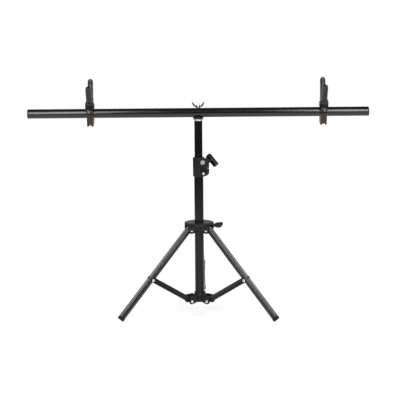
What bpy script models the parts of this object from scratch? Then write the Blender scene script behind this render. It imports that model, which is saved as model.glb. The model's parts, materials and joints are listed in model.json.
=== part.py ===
"""Table-top backdrop stand: folding tripod, two-stage column, crossbar and two spring clamps.

The stand is modelled in metres with +Z up and the crossbar along X. The front of the stand
faces -Y. The floor is at Z = 0. Three feet carry the legs, which hang from a canopy that
slides on the column. Struts join the legs to a lower hub near the floor.
"""

import math

import bmesh
import bpy
from mathutils import Matrix, Vector

MM = 0.001

# Fits and edges shared by all pieces
FIT_GAP = 0.3 * MM
PIN_GAP = 0.3 * MM
JOIN_DEPTH = 2 * MM
SMALL_CHAMFER = 0.8 * MM

# Tubes
LOWER_TUBE_DIAMETER = 22 * MM
LOWER_TUBE_LENGTH = 321.5 * MM
UPPER_TUBE_DIAMETER = 19 * MM
UPPER_TUBE_LENGTH = 340 * MM
UPPER_TUBE_SHOWING = 86.5 * MM
COLUMN_WALL = 1.2 * MM
LEG_DIAMETER = 16 * MM
LEG_WALL = 1.2 * MM
BAR_DIAMETER = 22 * MM
BAR_LENGTH = 800 * MM
BAR_WALL = 1.2 * MM

# Tripod linkage, measured in the plane of one leg
LEG_LENGTH = 268 * MM
LEG_SPREAD = math.radians(42.8)
LEG_HINGE_RADIUS = 26.3 * MM
LEG_AXIS_OFFSET = 2.5 * MM
LEG_TOP_LENGTH = 5 * MM
CLIP_DISTANCE = 149 * MM
STRUT_LENGTH = 118 * MM
STRUT_HINGE_RADIUS = 27.5 * MM
TRIPOD_TURN = math.radians(-2)
LEG_DIRECTIONS = {
    "left": TRIPOD_TURN - math.radians(60),
    "right": TRIPOD_TURN + math.radians(60),
    "rear": TRIPOD_TURN + math.radians(180),
}

# Feet
FOOT_DIAMETER = 16.8 * MM
FOOT_LIP = 7 * MM
FOOT_SHANK = 14 * MM
FOOT_TRIM = 0.5 * MM
FOOT_EDGE = 1.2 * MM

# Canopy
CANOPY_RADIUS = 35 * MM
CANOPY_ROOF_RISE = 17.6 * MM
CANOPY_ROOF = 4.2 * MM
CANOPY_SKIRT_RISE = 1.8 * MM
CANOPY_SKIRT_WALL = 2.4 * MM
CANOPY_SLEEVE_RADIUS = 16 * MM
CANOPY_SLEEVE_DROP = 6.4 * MM
CANOPY_EAR_WALL = 4 * MM
CANOPY_EAR_RADIUS = 7.8 * MM
CANOPY_EDGE = 1.8 * MM
CANOPY_CROWN = 0.5 * MM
HINGE_SIDE_GAP = 0.4 * MM

# Lower hub
HUB_SLEEVE_RADIUS = 15.2 * MM
HUB_SLEEVE_RISE = 11.4 * MM
HUB_SLEEVE_DROP = 2.6 * MM
HUB_NECK_RISE = 20 * MM
HUB_EAR_WALL = 3.5 * MM
HUB_EAR_RADIUS = 6.8 * MM
HUB_EAR_RISE = 12.8 * MM
HUB_EAR_SLOPE = 1.5 * MM
HUB_EAR_CORNER = 3 * MM
HUB_NECK_WALL = 0.8 * MM
PLUG_FLANGE = 1.6 * MM
PLUG_SHANK = 9 * MM

# Struts, pressed from sheet
STRUT_SHEET = 1.2 * MM
STRUT_SIDE_GAP = 0.5 * MM
STRUT_HEIGHT = 12 * MM
STRUT_EDGE_DROP = 4.4 * MM
STRUT_WEB_CUTBACK = 22 * MM
STRUT_HUB_CORNER = 3 * MM
STRUT_LEG_CORNER = 4 * MM

# Rivets and pins
RIVET_DIAMETER = 4 * MM
RIVET_HEAD_DIAMETER = 7 * MM
RIVET_HEAD_HEIGHT = 1.8 * MM
LEG_RIVET_DIAMETER = 3.2 * MM
LEG_RIVET_HEAD_DIAMETER = 6.6 * MM
LEG_RIVET_HEAD_HEIGHT = 2 * MM

# Canopy thumb knob
KNOB_RISE = 4.6 * MM
KNOB_BOSS_DIAMETER = 12.6 * MM
KNOB_BOSS_REACH = 37 * MM
KNOB_NECK_DIAMETER = 8.6 * MM
KNOB_NECK_LENGTH = 6 * MM
KNOB_PADDLE_LENGTH = 20 * MM
KNOB_PADDLE_HEIGHT = 12.5 * MM
KNOB_PADDLE_WIDTH = 7 * MM
KNOB_SCREW_DIAMETER = 5 * MM
KNOB_SCREW_GRIP = 2 * MM
KNOB_SHOULDER = 4 * MM
KNOB_THROAT_HEIGHT = 7.5 * MM
KNOB_SLANT = (6 * MM, 6.8 * MM)
KNOB_ROUND = 2.4 * MM

# Lock collar
COLLAR_WALL = 2.4 * MM
COLLAR_DROP = 20.8 * MM
COLLAR_RISE = 25.5 * MM
COLLAR_DIRECTION = math.radians(58.5)
COLLAR_LUG_REACH = 25.4 * MM
COLLAR_LUG_WIDTH = 12.6 * MM
COLLAR_LUG_INSET = 1.6 * MM
COLLAR_SLIT = 1.2 * MM
COLLAR_BOLT_OFFSET = 17 * MM
COLLAR_BOLT_RISE = 14.9 * MM
COLLAR_SCREW_DROP = 11.9 * MM
COLLAR_BOSS_HEIGHT = 2 * MM
COLLAR_BOSS_MARGIN = 1 * MM
COLLAR_CHAMFER = 1.5 * MM
COLLAR_LUG_ROUND = 3 * MM
COLLAR_LUG_SHOULDER = (6 * MM, 8 * MM)
COLLAR_LUG_FOOT = (5 * MM, 6 * MM)
COLLAR_LUG_SLOPE = 1 * MM
BOLT_DIAMETER = 6 * MM
NUT_FLATS = 10 * MM
NUT_HEIGHT = 4.6 * MM
COLLAR_SCREW_DIAMETER = 4 * MM
COLLAR_SCREW_HEAD_DIAMETER = 8 * MM
COLLAR_SCREW_HEAD_HEIGHT = 2.6 * MM

# Lock knob
LOCK_NECK_DIAMETER = 8 * MM
LOCK_NECK_LENGTH = 19 * MM
LOCK_HANDLE_LENGTH = 34 * MM
LOCK_HANDLE_HEIGHT = 10 * MM
LOCK_HANDLE_DEPTH = 12.5 * MM
LOCK_HANDLE_ROUND = 3.5 * MM
LOCK_HANDLE_TURN = math.radians(45)
LOCK_BOLT_GRIP = 13.3 * MM
LOCK_BOLT_END = 1.5 * MM

# Spigot, saddle and wing nut on the column's top
SPIGOT_FLANGE_DIAMETER = 22 * MM
SPIGOT_FLANGE_HEIGHT = 4 * MM
SPIGOT_SHANK = 18 * MM
STUD_DIAMETER = 6 * MM
STUD_RISE = 14 * MM
SADDLE_DIAMETER = 25 * MM
SADDLE_SEAT = 3.2 * MM
SADDLE_LIP = 2.4 * MM
SADDLE_TAPER = 2 * MM
WING_BASE_DIAMETER = 11.5 * MM
WING_BASE_HEIGHT = 6 * MM
WING_SPAN = 30.5 * MM
WING_HEIGHT = 15 * MM
WING_THICKNESS = 2.6 * MM
WING_BASE_TOP_DIAMETER = 9.2 * MM
WING_BASE_EDGE = (0.5 * MM, 1 * MM)
WING_ROOT_RISE = 1.2 * MM
WING_ELBOW = (9.9 * MM, 2.4 * MM)
WING_TIP = (3.5 * MM, 3 * MM)
WING_THROAT = (7.2 * MM, 5.4 * MM)
WING_ROUND = 2.2 * MM

# Plastic caps in the crossbar's ends
CAP_FLANGE = 2 * MM
CAP_SHANK = 12 * MM

# Glide on the bottom of the upper tube
GLIDE_FLANGE = 3 * MM
GLIDE_SHANK = 10 * MM

# Spring clamps
CLAMP_FROM_BAR_END = {"left": 147 * MM, "right": 106.5 * MM}
CLAMP_LEAN = math.radians(10)
CLAMP_PIVOT_RISE = 8.5 * MM
CLAMP_PIN_DIAMETER = 3.6 * MM
CLAMP_HUB_RADIUS = 6 * MM
HANDLE_ANGLE = math.radians(28)
HANDLE_LENGTH = 65 * MM
HANDLE_THICKNESS = 5 * MM
HANDLE_STANDOFF = 4.9 * MM
HANDLE_WIDTH = 12.4 * MM
HANDLE_RECESS_WIDTH = 6.4 * MM
HANDLE_RECESS_DEPTH = 2.4 * MM
JAW_WIDTH = 14 * MM
JAW_TIP_DROP = 19 * MM
JAW_WALL = 5 * MM
JAW_BAR_GAP = 3.2 * MM
FRONT_CHEEK_OUTER = 10.4 * MM
CHEEK_WALL = 2.5 * MM
PAD_ANGLE = math.radians(15)
PAD_THICKNESS = 3.5 * MM
PAD_TOP_THICKNESS = 2 * MM
PAD_START = 3 * MM
PAD_LENGTH = 22 * MM
PAD_WIDTH = 16 * MM
PAD_PIVOT_ALONG = 20.5 * MM
PAD_PIVOT_OUT = 6 * MM
PAD_BOSS_WIDTH = 2.6 * MM
PAD_BOSS_HEIGHT = 3 * MM
PAD_PIN_DIAMETER = 2.6 * MM
PAD_PIN_LENGTH = 11 * MM
NOTCH_WIDTH = 10 * MM
NOTCH_HEIGHT = 12.5 * MM
SPRING_WIRE = 1.5 * MM
SPRING_RADIUS = 3.5 * MM
SPRING_CURLS = 4
SPRING_PITCH = 2 * MM
SPRING_POINTS_PER_CURL = 9
SPRING_LEG = 22 * MM
LEVER_EDGE = 1 * MM
LEVER_BEND = 8 * MM
LEVER_POCKET_GAP = 1.2 * MM
JAW_BACK = (4.4 * MM, 3 * MM)
JAW_TIP_BACK = 2.2 * MM
PAD_BACK_GAP = 0.5 * MM
EAR_LOW_SLOPE = 3 * MM
EAR_HIGH_SLOPE = 8 * MM
EAR_LOW_MARGIN = 1 * MM
EAR_HIGH_MARGIN = 2 * MM
HANDLE_FLARE = 0.6 * MM
RECESS_START = 17 * MM
RECESS_END = 57 * MM
CLAMP_PIN_END = 0.6 * MM

# Facets around round pieces
TUBE_SIDES = 32
LEG_SIDES = 24
CANOPY_SIDES = 40
SMALL_SIDES = 12
BOSS_SIDES = 20
ARC_STEPS = 6


def remove_old_objects():
    for old in list(bpy.data.objects):
        bpy.data.objects.remove(old, do_unlink=True)


def new_collection(name):
    collection = bpy.data.collections.new(name)
    bpy.context.scene.collection.children.link(collection)
    return collection


remove_old_objects()
PARTS = new_collection("backdrop_stand")
CUTTERS = new_collection("cutters")


def finish(name, colour, roughness, metallic=0.0):
    """Make a plain Principled material."""
    material = bpy.data.materials.new(name)
    material.use_nodes = True
    shader = material.node_tree.nodes["Principled BSDF"]
    shader.inputs["Base Color"].default_value = (*colour, 1)
    shader.inputs["Roughness"].default_value = roughness
    shader.inputs["Metallic"].default_value = metallic
    material.diffuse_color = (*colour, 1)
    return material


BLACK_PAINT = ("black_paint", (0.015, 0.015, 0.017), 0.22, 0.0)
BLACK_PLASTIC = ("black_plastic", (0.028, 0.028, 0.030), 0.45, 0.0)
BLACK_RUBBER = ("black_rubber", (0.02, 0.02, 0.02), 0.75, 0.0)
BRIGHT_STEEL = ("bright_steel", (0.78, 0.78, 0.80), 0.25, 1.0)
ORANGE_PAD = ("orange_pad", (0.90, 0.25, 0.04), 0.55, 0.0)


def empty(name, parent=None, location=(0, 0, 0), rotation=(0, 0, 0)):
    """Make an empty that carries the pieces of one moving body."""
    node = bpy.data.objects.new(name, None)
    node.empty_display_size = 0.01
    node.parent = parent
    node.location = location
    node.rotation_euler = rotation
    PARTS.objects.link(node)
    return node


def piece(name, mesh, look, parent, location=(0, 0, 0), rotation=(0, 0, 0)):
    """Place a mesh as one named sub-part with its own material."""
    node = bpy.data.objects.new(name, mesh)
    node.parent = parent
    node.location = location
    node.rotation_euler = rotation
    if not mesh.materials:
        mesh.materials.append(finish(f"{name}_{look[0]}", *look[1:]))
    PARTS.objects.link(node)
    return node


def tool(name, mesh, parent, location=(0, 0, 0), rotation=(0, 0, 0)):
    """Place a mesh that only cuts or is joined into a piece."""
    node = bpy.data.objects.new(name, mesh)
    node.parent = parent
    node.location = location
    node.rotation_euler = rotation
    node.hide_render = True
    node.display_type = "WIRE"
    CUTTERS.objects.link(node)
    return node


def boolean(target, other, operation):
    modifier = target.modifiers.new(f"{operation.lower()}_{other.name}", "BOOLEAN")
    modifier.operation = operation
    modifier.object = other
    modifier.solver = "EXACT"


def cut(target, *others):
    for other in others:
        boolean(target, other, "DIFFERENCE")


def join(target, *others):
    for other in others:
        boolean(target, other, "UNION")


def keep_common(target, other):
    boolean(target, other, "INTERSECT")


def smooth(mesh, angle=math.radians(35)):
    mesh.shade_smooth()
    mesh.set_sharp_from_angle(angle=angle)
    return mesh


def mesh_from(builder, name):
    """Run a bmesh builder and return its mesh."""
    work = bmesh.new()
    builder(work)
    bmesh.ops.recalc_face_normals(work, faces=work.faces)
    mesh = bpy.data.meshes.new(name)
    work.to_mesh(mesh)
    work.free()
    return smooth(mesh)


def box_mesh(name, size, centre=(0, 0, 0)):
    place = Matrix.Translation(centre) @ Matrix.Diagonal((*size, 1))
    return mesh_from(lambda work: bmesh.ops.create_cube(work, size=1, matrix=place), name)


def rod_mesh(name, radius, start, end, sides=SMALL_SIDES, end_radius=None):
    """Make a solid round bar or cone between two points."""
    start = Vector(start)
    end = Vector(end)
    along = end - start
    place = Matrix.Translation((start + end) / 2) @ along.to_track_quat("Z", "Y").to_matrix().to_4x4()

    def build(work):
        bmesh.ops.create_cone(
            work,
            cap_ends=True,
            segments=sides,
            radius1=radius,
            radius2=radius if end_radius is None else end_radius,
            depth=along.length,
            matrix=place,
        )

    return mesh_from(build, name)


def turned_mesh(name, profile, sides, closed=False):
    """Turn a profile of (radius, height) about Z with a Screw modifier.

    An open profile starts and ends on the axis. Both kinds run down the outer side.
    """
    line = bpy.data.meshes.new(name)
    count = len(profile)
    edges = [(i, i + 1) for i in range(count - 1)]
    if closed:
        edges.append((count - 1, 0))
    line.from_pydata([(r, 0, z) for r, z in profile], edges, [])
    holder = bpy.data.objects.new(name, line)
    CUTTERS.objects.link(holder)
    screw = holder.modifiers.new("turn", "SCREW")
    screw.steps = sides
    screw.render_steps = sides
    screw.use_merge_vertices = True
    screw.merge_threshold = 0.00001
    mesh = applied_mesh(holder, name)
    bpy.data.objects.remove(holder, do_unlink=True)
    return smooth(mesh)


def applied_mesh(node, name):
    """Read an object's mesh with its modifiers or its curve worked out."""
    bpy.context.view_layer.update()
    graph = bpy.context.evaluated_depsgraph_get()
    mesh = bpy.data.meshes.new_from_object(node.evaluated_get(graph))
    mesh.name = name
    work = bmesh.new()
    work.from_mesh(mesh)
    bmesh.ops.remove_doubles(work, verts=work.verts, dist=0.000001)
    work.to_mesh(mesh)
    work.free()
    return mesh


def outline_mesh(name, points, thickness):
    """Fill a flat outline in XY and give it a thickness along Z."""
    curve = bpy.data.curves.new(name, "CURVE")
    curve.dimensions = "2D"
    curve.fill_mode = "BOTH"
    curve.extrude = thickness / 2
    spline = curve.splines.new("POLY")
    spline.points.add(len(points) - 1)
    for point, (x, y) in zip(spline.points, points):
        point.co = (x, y, 0, 1)
    spline.use_cyclic_u = True
    holder = bpy.data.objects.new(name, curve)
    CUTTERS.objects.link(holder)
    mesh = applied_mesh(holder, name)
    bpy.data.objects.remove(holder, do_unlink=True)
    return smooth(mesh)


def wire_mesh(name, points, diameter, bevel_resolution):
    """Make a round wire with filled ends along a list of points."""
    curve = bpy.data.curves.new(name, "CURVE")
    curve.dimensions = "3D"
    curve.bevel_depth = diameter / 2
    curve.bevel_resolution = bevel_resolution
    curve.use_fill_caps = True
    spline = curve.splines.new("POLY")
    spline.points.add(len(points) - 1)
    for point, place in zip(spline.points, points):
        point.co = (*place, 1)
    holder = bpy.data.objects.new(name, curve)
    CUTTERS.objects.link(holder)
    mesh = applied_mesh(holder, name)
    bpy.data.objects.remove(holder, do_unlink=True)
    return smooth(mesh)


def arc(centre, radius, start, end, steps):
    """Points on an arc in a plane, with angles in degrees."""
    turn = (end - start) / steps
    angles = [math.radians(start + turn * i) for i in range(steps + 1)]
    return [(centre[0] + radius * math.cos(a), centre[1] + radius * math.sin(a)) for a in angles]


def rounded(points, radius, steps=3):
    """Round every corner of a closed outline."""
    result = []
    count = len(points)
    for i in range(count):
        corner = Vector(points[i])
        before = Vector(points[i - 1]) - corner
        after = Vector(points[(i + 1) % count]) - corner
        reach = min(radius, 0.45 * before.length, 0.45 * after.length)
        first = corner + before.normalized() * reach
        last = corner + after.normalized() * reach
        for step in range(steps + 1):
            t = step / steps
            result.append(tuple(first.lerp(corner, t).lerp(corner.lerp(last, t), t)))
    return result


def tube_mesh(name, outer, wall, bottom, top, sides):
    inner = outer - wall
    profile = [(outer, top), (outer, bottom), (inner, bottom), (inner, top)]
    return turned_mesh(name, profile, sides, closed=True)


def rivet_mesh(name, shank_radius, head_radius, head_height, start, end, two_heads=True):
    """A domed rivet along Z whose shank runs from start to end."""
    top = [
        (0, end + head_height),
        (0.55 * head_radius, end + 0.85 * head_height),
        (0.9 * head_radius, end + 0.4 * head_height),
        (head_radius, end),
        (shank_radius, end),
    ]
    if two_heads:
        low = [(radius, start + end - height) for radius, height in reversed(top)]
    else:
        low = [(shank_radius, start), (0, start)]
    return turned_mesh(name, top + low, SMALL_SIDES)


def facing(direction):
    """Turn about Z that points local +X away from the column in a direction.

    Directions are angles from the front, -Y, towards the right, +X.
    """
    return (0, 0, direction - math.radians(90))


# Places worked out from the driving sizes, in the plane of one leg: (radius, height)
FOOT_RADIUS = FOOT_DIAMETER / 2
HINGE_HEIGHT = (
    LEG_LENGTH * math.cos(LEG_SPREAD)
    - LEG_AXIS_OFFSET * math.sin(LEG_SPREAD)
    + FOOT_RADIUS * math.sin(LEG_SPREAD)
    - FOOT_TRIM
)
CLIP_RADIUS = LEG_HINGE_RADIUS + CLIP_DISTANCE * math.sin(LEG_SPREAD)
CLIP_HEIGHT = HINGE_HEIGHT - CLIP_DISTANCE * math.cos(LEG_SPREAD)
STRUT_RUN = CLIP_RADIUS - STRUT_HINGE_RADIUS
STRUT_RISE = math.sqrt(STRUT_LENGTH**2 - STRUT_RUN**2)
STRUT_SLOPE = math.atan2(STRUT_RISE, STRUT_RUN)
LOWER_PIVOT_HEIGHT = CLIP_HEIGHT - STRUT_RISE

COLUMN_RADIUS = LOWER_TUBE_DIAMETER / 2
TUBE_BOTTOM = LOWER_PIVOT_HEIGHT - HUB_SLEEVE_DROP
TUBE_TOP = TUBE_BOTTOM + LOWER_TUBE_LENGTH
COLLAR_TOP = TUBE_TOP + COLLAR_RISE
UPPER_TUBE_TOP = COLLAR_TOP + UPPER_TUBE_SHOWING
SADDLE_BOTTOM = UPPER_TUBE_TOP + SPIGOT_FLANGE_HEIGHT + FIT_GAP
BAR_RADIUS = BAR_DIAMETER / 2
BAR_HEIGHT = SADDLE_BOTTOM + SADDLE_SEAT + FIT_GAP + BAR_RADIUS

# The stand's origin is on the floor under the middle of its box
LEG_REACH = (
    LEG_HINGE_RADIUS
    + (LEG_AXIS_OFFSET + FOOT_RADIUS) * math.cos(LEG_SPREAD)
    + LEG_LENGTH * math.sin(LEG_SPREAD)
)
FRONT_REACH = LEG_REACH * max(math.cos(LEG_DIRECTIONS["left"]), math.cos(LEG_DIRECTIONS["right"]))
REAR_REACH = -LEG_REACH * math.cos(LEG_DIRECTIONS["rear"])
COLUMN_Y = (FRONT_REACH - REAR_REACH) / 2
STAND = empty("stand", location=(0, COLUMN_Y, 0))


def make_lower_tube():
    mesh = tube_mesh("lower_tube", COLUMN_RADIUS, COLUMN_WALL, TUBE_BOTTOM, TUBE_TOP, TUBE_SIDES)
    piece("lower_tube", mesh, BLACK_PAINT, STAND)
    bore = COLUMN_RADIUS - COLUMN_WALL - FIT_GAP
    profile = [
        (0, TUBE_BOTTOM + PLUG_SHANK),
        (bore - FIT_GAP, TUBE_BOTTOM + PLUG_SHANK),
        (bore, TUBE_BOTTOM + PLUG_SHANK - FIT_GAP),
        (bore, TUBE_BOTTOM - FIT_GAP),
        (COLUMN_RADIUS, TUBE_BOTTOM - FIT_GAP),
        (COLUMN_RADIUS, TUBE_BOTTOM - FIT_GAP - PLUG_FLANGE),
        (0, TUBE_BOTTOM - FIT_GAP - PLUG_FLANGE),
    ]
    piece("lower_tube_plug", turned_mesh("lower_tube_plug", profile, LEG_SIDES), BLACK_PLASTIC, STAND)


STRUT_INNER = LEG_DIAMETER / 2 + STRUT_SIDE_GAP
STRUT_OUTER = STRUT_INNER + STRUT_SHEET
HUB_EAR_INNER = STRUT_OUTER + FIT_GAP
HUB_EAR_OUTER = HUB_EAR_INNER + HUB_EAR_WALL


def make_lower_hub():
    pivot = LOWER_PIVOT_HEIGHT
    bore = COLUMN_RADIUS + FIT_GAP
    sleeve_top = pivot + HUB_SLEEVE_RISE
    neck_top = pivot + HUB_NECK_RISE
    flare_width = HUB_SLEEVE_RADIUS - bore - HUB_NECK_WALL
    flare_height = neck_top - sleeve_top
    round_off = [math.radians(angle) for angle in (0, 30, 60, 90)]
    sleeve = [
        (HUB_SLEEVE_RADIUS - flare_width * math.cos(a), neck_top - flare_height * math.sin(a))
        for a in round_off
    ]
    sleeve += [
        (HUB_SLEEVE_RADIUS, pivot - HUB_SLEEVE_DROP),
        (bore, pivot - HUB_SLEEVE_DROP),
        (bore, neck_top),
    ]
    hub = piece("lower_hub", turned_mesh("lower_hub", sleeve, TUBE_SIDES, closed=True), BLACK_PLASTIC, STAND)
    root = (bore + HUB_SLEEVE_RADIUS) / 2
    outer = STRUT_HINGE_RADIUS + HUB_EAR_RADIUS
    top = pivot + HUB_EAR_RISE
    corner = HUB_EAR_CORNER
    outline = [(root, top + HUB_EAR_SLOPE), (outer - corner, top), (outer, top - corner)]
    outline += arc((STRUT_HINGE_RADIUS, pivot), HUB_EAR_RADIUS, 0, -100, ARC_STEPS)
    outline += [(HUB_SLEEVE_RADIUS, pivot - HUB_SLEEVE_DROP), (root, pivot - HUB_SLEEVE_DROP)]
    upright = (math.radians(90), 0, 0)
    for name, direction in LEG_DIRECTIONS.items():
        turn = empty(f"lower_hub_{name}", STAND, rotation=facing(direction))
        ear_mesh = outline_mesh("hub_ears", outline, 2 * HUB_EAR_OUTER)
        join(hub, tool(f"hub_ears_{name}", ear_mesh, turn, rotation=upright))
        slot_start = HUB_SLEEVE_RADIUS + FIT_GAP
        slot_size = (outer, 2 * HUB_EAR_INNER, 3 * HUB_NECK_RISE)
        slot = box_mesh("hub_slot", slot_size, (slot_start + outer / 2, 0, pivot))
        cut(hub, tool(f"hub_slot_{name}", slot, turn))
        hole_reach = HUB_EAR_OUTER + RIVET_HEAD_HEIGHT
        hole = rod_mesh(
            "hub_hole",
            RIVET_DIAMETER / 2 + PIN_GAP,
            (STRUT_HINGE_RADIUS, -hole_reach, pivot),
            (STRUT_HINGE_RADIUS, hole_reach, pivot),
        )
        cut(hub, tool(f"hub_hole_{name}", hole, turn))
        shank = HUB_EAR_OUTER + FIT_GAP
        rivet = rivet_mesh(
            "lower_hub_rivet",
            RIVET_DIAMETER / 2,
            RIVET_HEAD_DIAMETER / 2,
            RIVET_HEAD_HEIGHT,
            -shank,
            shank,
        )
        place = (STRUT_HINGE_RADIUS, 0, pivot)
        piece(f"lower_hub_rivet_{name}", rivet, BRIGHT_STEEL, turn, place, upright)


CANOPY_BODY = empty("canopy_slider", STAND, (0, 0, HINGE_HEIGHT))
CANOPY_EAR_INNER = LEG_DIAMETER / 2 + HINGE_SIDE_GAP
CANOPY_EAR_OUTER = CANOPY_EAR_INNER + CANOPY_EAR_WALL
KNOB_DIRECTION = (LEG_DIRECTIONS["right"] + LEG_DIRECTIONS["rear"]) / 2


def make_canopy():
    """Heights here are measured from the leg hinges."""
    bore = COLUMN_RADIUS + FIT_GAP
    roof = CANOPY_ROOF_RISE
    ceiling = roof - CANOPY_ROOF
    edge = CANOPY_EDGE
    skirt_inner = CANOPY_RADIUS - CANOPY_SKIRT_WALL
    shell = [
        (CANOPY_RADIUS - edge, roof - CANOPY_CROWN),
        (CANOPY_RADIUS - 0.3 * edge, roof - 0.5 * edge),
        (CANOPY_RADIUS, roof - edge),
        (CANOPY_RADIUS, CANOPY_SKIRT_RISE),
        (skirt_inner, CANOPY_SKIRT_RISE),
        (skirt_inner, ceiling),
        (CANOPY_SLEEVE_RADIUS, ceiling),
        (CANOPY_SLEEVE_RADIUS, -CANOPY_SLEEVE_DROP),
        (bore, -CANOPY_SLEEVE_DROP),
        (bore, roof),
    ]
    shell_mesh = turned_mesh("canopy", shell, CANOPY_SIDES, closed=True)
    canopy = piece("canopy", shell_mesh, BLACK_PLASTIC, CANOPY_BODY)
    root = (bore + CANOPY_SLEEVE_RADIUS) / 2
    outer = math.sqrt((CANOPY_RADIUS - CANOPY_SKIRT_WALL / 3) ** 2 - CANOPY_EAR_OUTER**2)
    start_angle = -math.degrees(math.acos((outer - LEG_HINGE_RADIUS) / CANOPY_EAR_RADIUS))
    outline = [(root, roof - edge), (outer, roof - edge)]
    outline += arc((LEG_HINGE_RADIUS, 0), CANOPY_EAR_RADIUS, start_angle, -110, ARC_STEPS)
    outline += [(CANOPY_SLEEVE_RADIUS, -CANOPY_SLEEVE_DROP), (root, -CANOPY_SLEEVE_DROP)]
    upright = (math.radians(90), 0, 0)
    for name, direction in LEG_DIRECTIONS.items():
        turn = empty(f"canopy_{name}", CANOPY_BODY, rotation=facing(direction))
        ears = outline_mesh("canopy_ears", outline, 2 * CANOPY_EAR_OUTER)
        join(canopy, tool(f"canopy_ears_{name}", ears, turn, rotation=upright))
        slot_start = CANOPY_SLEEVE_RADIUS + FIT_GAP
        slot_top = ceiling - FIT_GAP
        slot_height = 3 * CANOPY_EAR_RADIUS
        slot_size = (CANOPY_RADIUS, 2 * CANOPY_EAR_INNER, slot_height)
        middle = (slot_start + CANOPY_RADIUS / 2, 0, slot_top - slot_height / 2)
        cut(canopy, tool(f"canopy_slot_{name}", box_mesh("canopy_slot", slot_size, middle), turn))
        reach = CANOPY_EAR_OUTER + RIVET_HEAD_HEIGHT
        hole = rod_mesh(
            "canopy_hole",
            RIVET_DIAMETER / 2 + PIN_GAP,
            (LEG_HINGE_RADIUS, -reach, 0),
            (LEG_HINGE_RADIUS, reach, 0),
        )
        cut(canopy, tool(f"canopy_hole_{name}", hole, turn))
        shank = CANOPY_EAR_OUTER + FIT_GAP
        rivet = rivet_mesh(
            "canopy_rivet",
            RIVET_DIAMETER / 2,
            RIVET_HEAD_DIAMETER / 2,
            RIVET_HEAD_HEIGHT,
            -shank,
            shank,
        )
        piece(f"canopy_rivet_{name}", rivet, BRIGHT_STEEL, turn, (LEG_HINGE_RADIUS, 0, 0), upright)
    turn = empty("canopy_knob_side", CANOPY_BODY, (0, 0, KNOB_RISE), facing(KNOB_DIRECTION))
    boss = rod_mesh("knob_boss", KNOB_BOSS_DIAMETER / 2, (root, 0, 0), (KNOB_BOSS_REACH, 0, 0), BOSS_SIDES)
    join(canopy, tool("knob_boss", boss, turn))
    hole_radius = KNOB_SCREW_DIAMETER / 2 + FIT_GAP
    hole = rod_mesh("knob_hole", hole_radius, (0, 0, 0), (KNOB_BOSS_REACH + edge, 0, 0))
    cut(canopy, tool("knob_hole", hole, turn))


def make_canopy_knob():
    """The knob's local X points away from the column, with its screw on X."""
    axis = empty("canopy_knob_axis", CANOPY_BODY, (0, 0, KNOB_RISE), facing(KNOB_DIRECTION))
    start = KNOB_BOSS_REACH + FIT_GAP
    paddle_start = start + KNOB_NECK_LENGTH
    end = paddle_start + KNOB_PADDLE_LENGTH
    half = KNOB_PADDLE_HEIGHT / 2
    throat = KNOB_THROAT_HEIGHT / 2
    corners = [
        (paddle_start, -throat),
        (paddle_start + KNOB_SHOULDER, -half),
        (end - KNOB_SLANT[0], -half),
        (end, KNOB_SLANT[1] - half),
        (end, half),
        (paddle_start + KNOB_SHOULDER, half),
        (paddle_start, throat),
    ]
    mesh = outline_mesh("canopy_knob", rounded(corners, KNOB_ROUND), KNOB_PADDLE_WIDTH)
    mesh.transform(Matrix.Rotation(math.radians(90), 4, "X"))
    knob = piece("canopy_knob", mesh, BLACK_PLASTIC, axis)
    neck = rod_mesh(
        "knob_neck",
        KNOB_NECK_DIAMETER / 2,
        (start, 0, 0),
        (paddle_start + JOIN_DEPTH, 0, 0),
        BOSS_SIDES,
    )
    join(knob, tool("knob_neck", neck, axis))
    screw_end = paddle_start + KNOB_SCREW_GRIP
    bore = rod_mesh("knob_bore", KNOB_SCREW_DIAMETER / 2 + FIT_GAP, (0, 0, 0), (screw_end, 0, 0))
    cut(knob, tool("knob_bore", bore, axis))
    tip = COLUMN_RADIUS + FIT_GAP
    shank = rod_mesh(
        "canopy_knob_screw",
        KNOB_SCREW_DIAMETER / 2,
        (tip, 0, 0),
        (screw_end - FIT_GAP, 0, 0),
    )
    piece("canopy_knob_screw", shank, BRIGHT_STEEL, axis)


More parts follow.
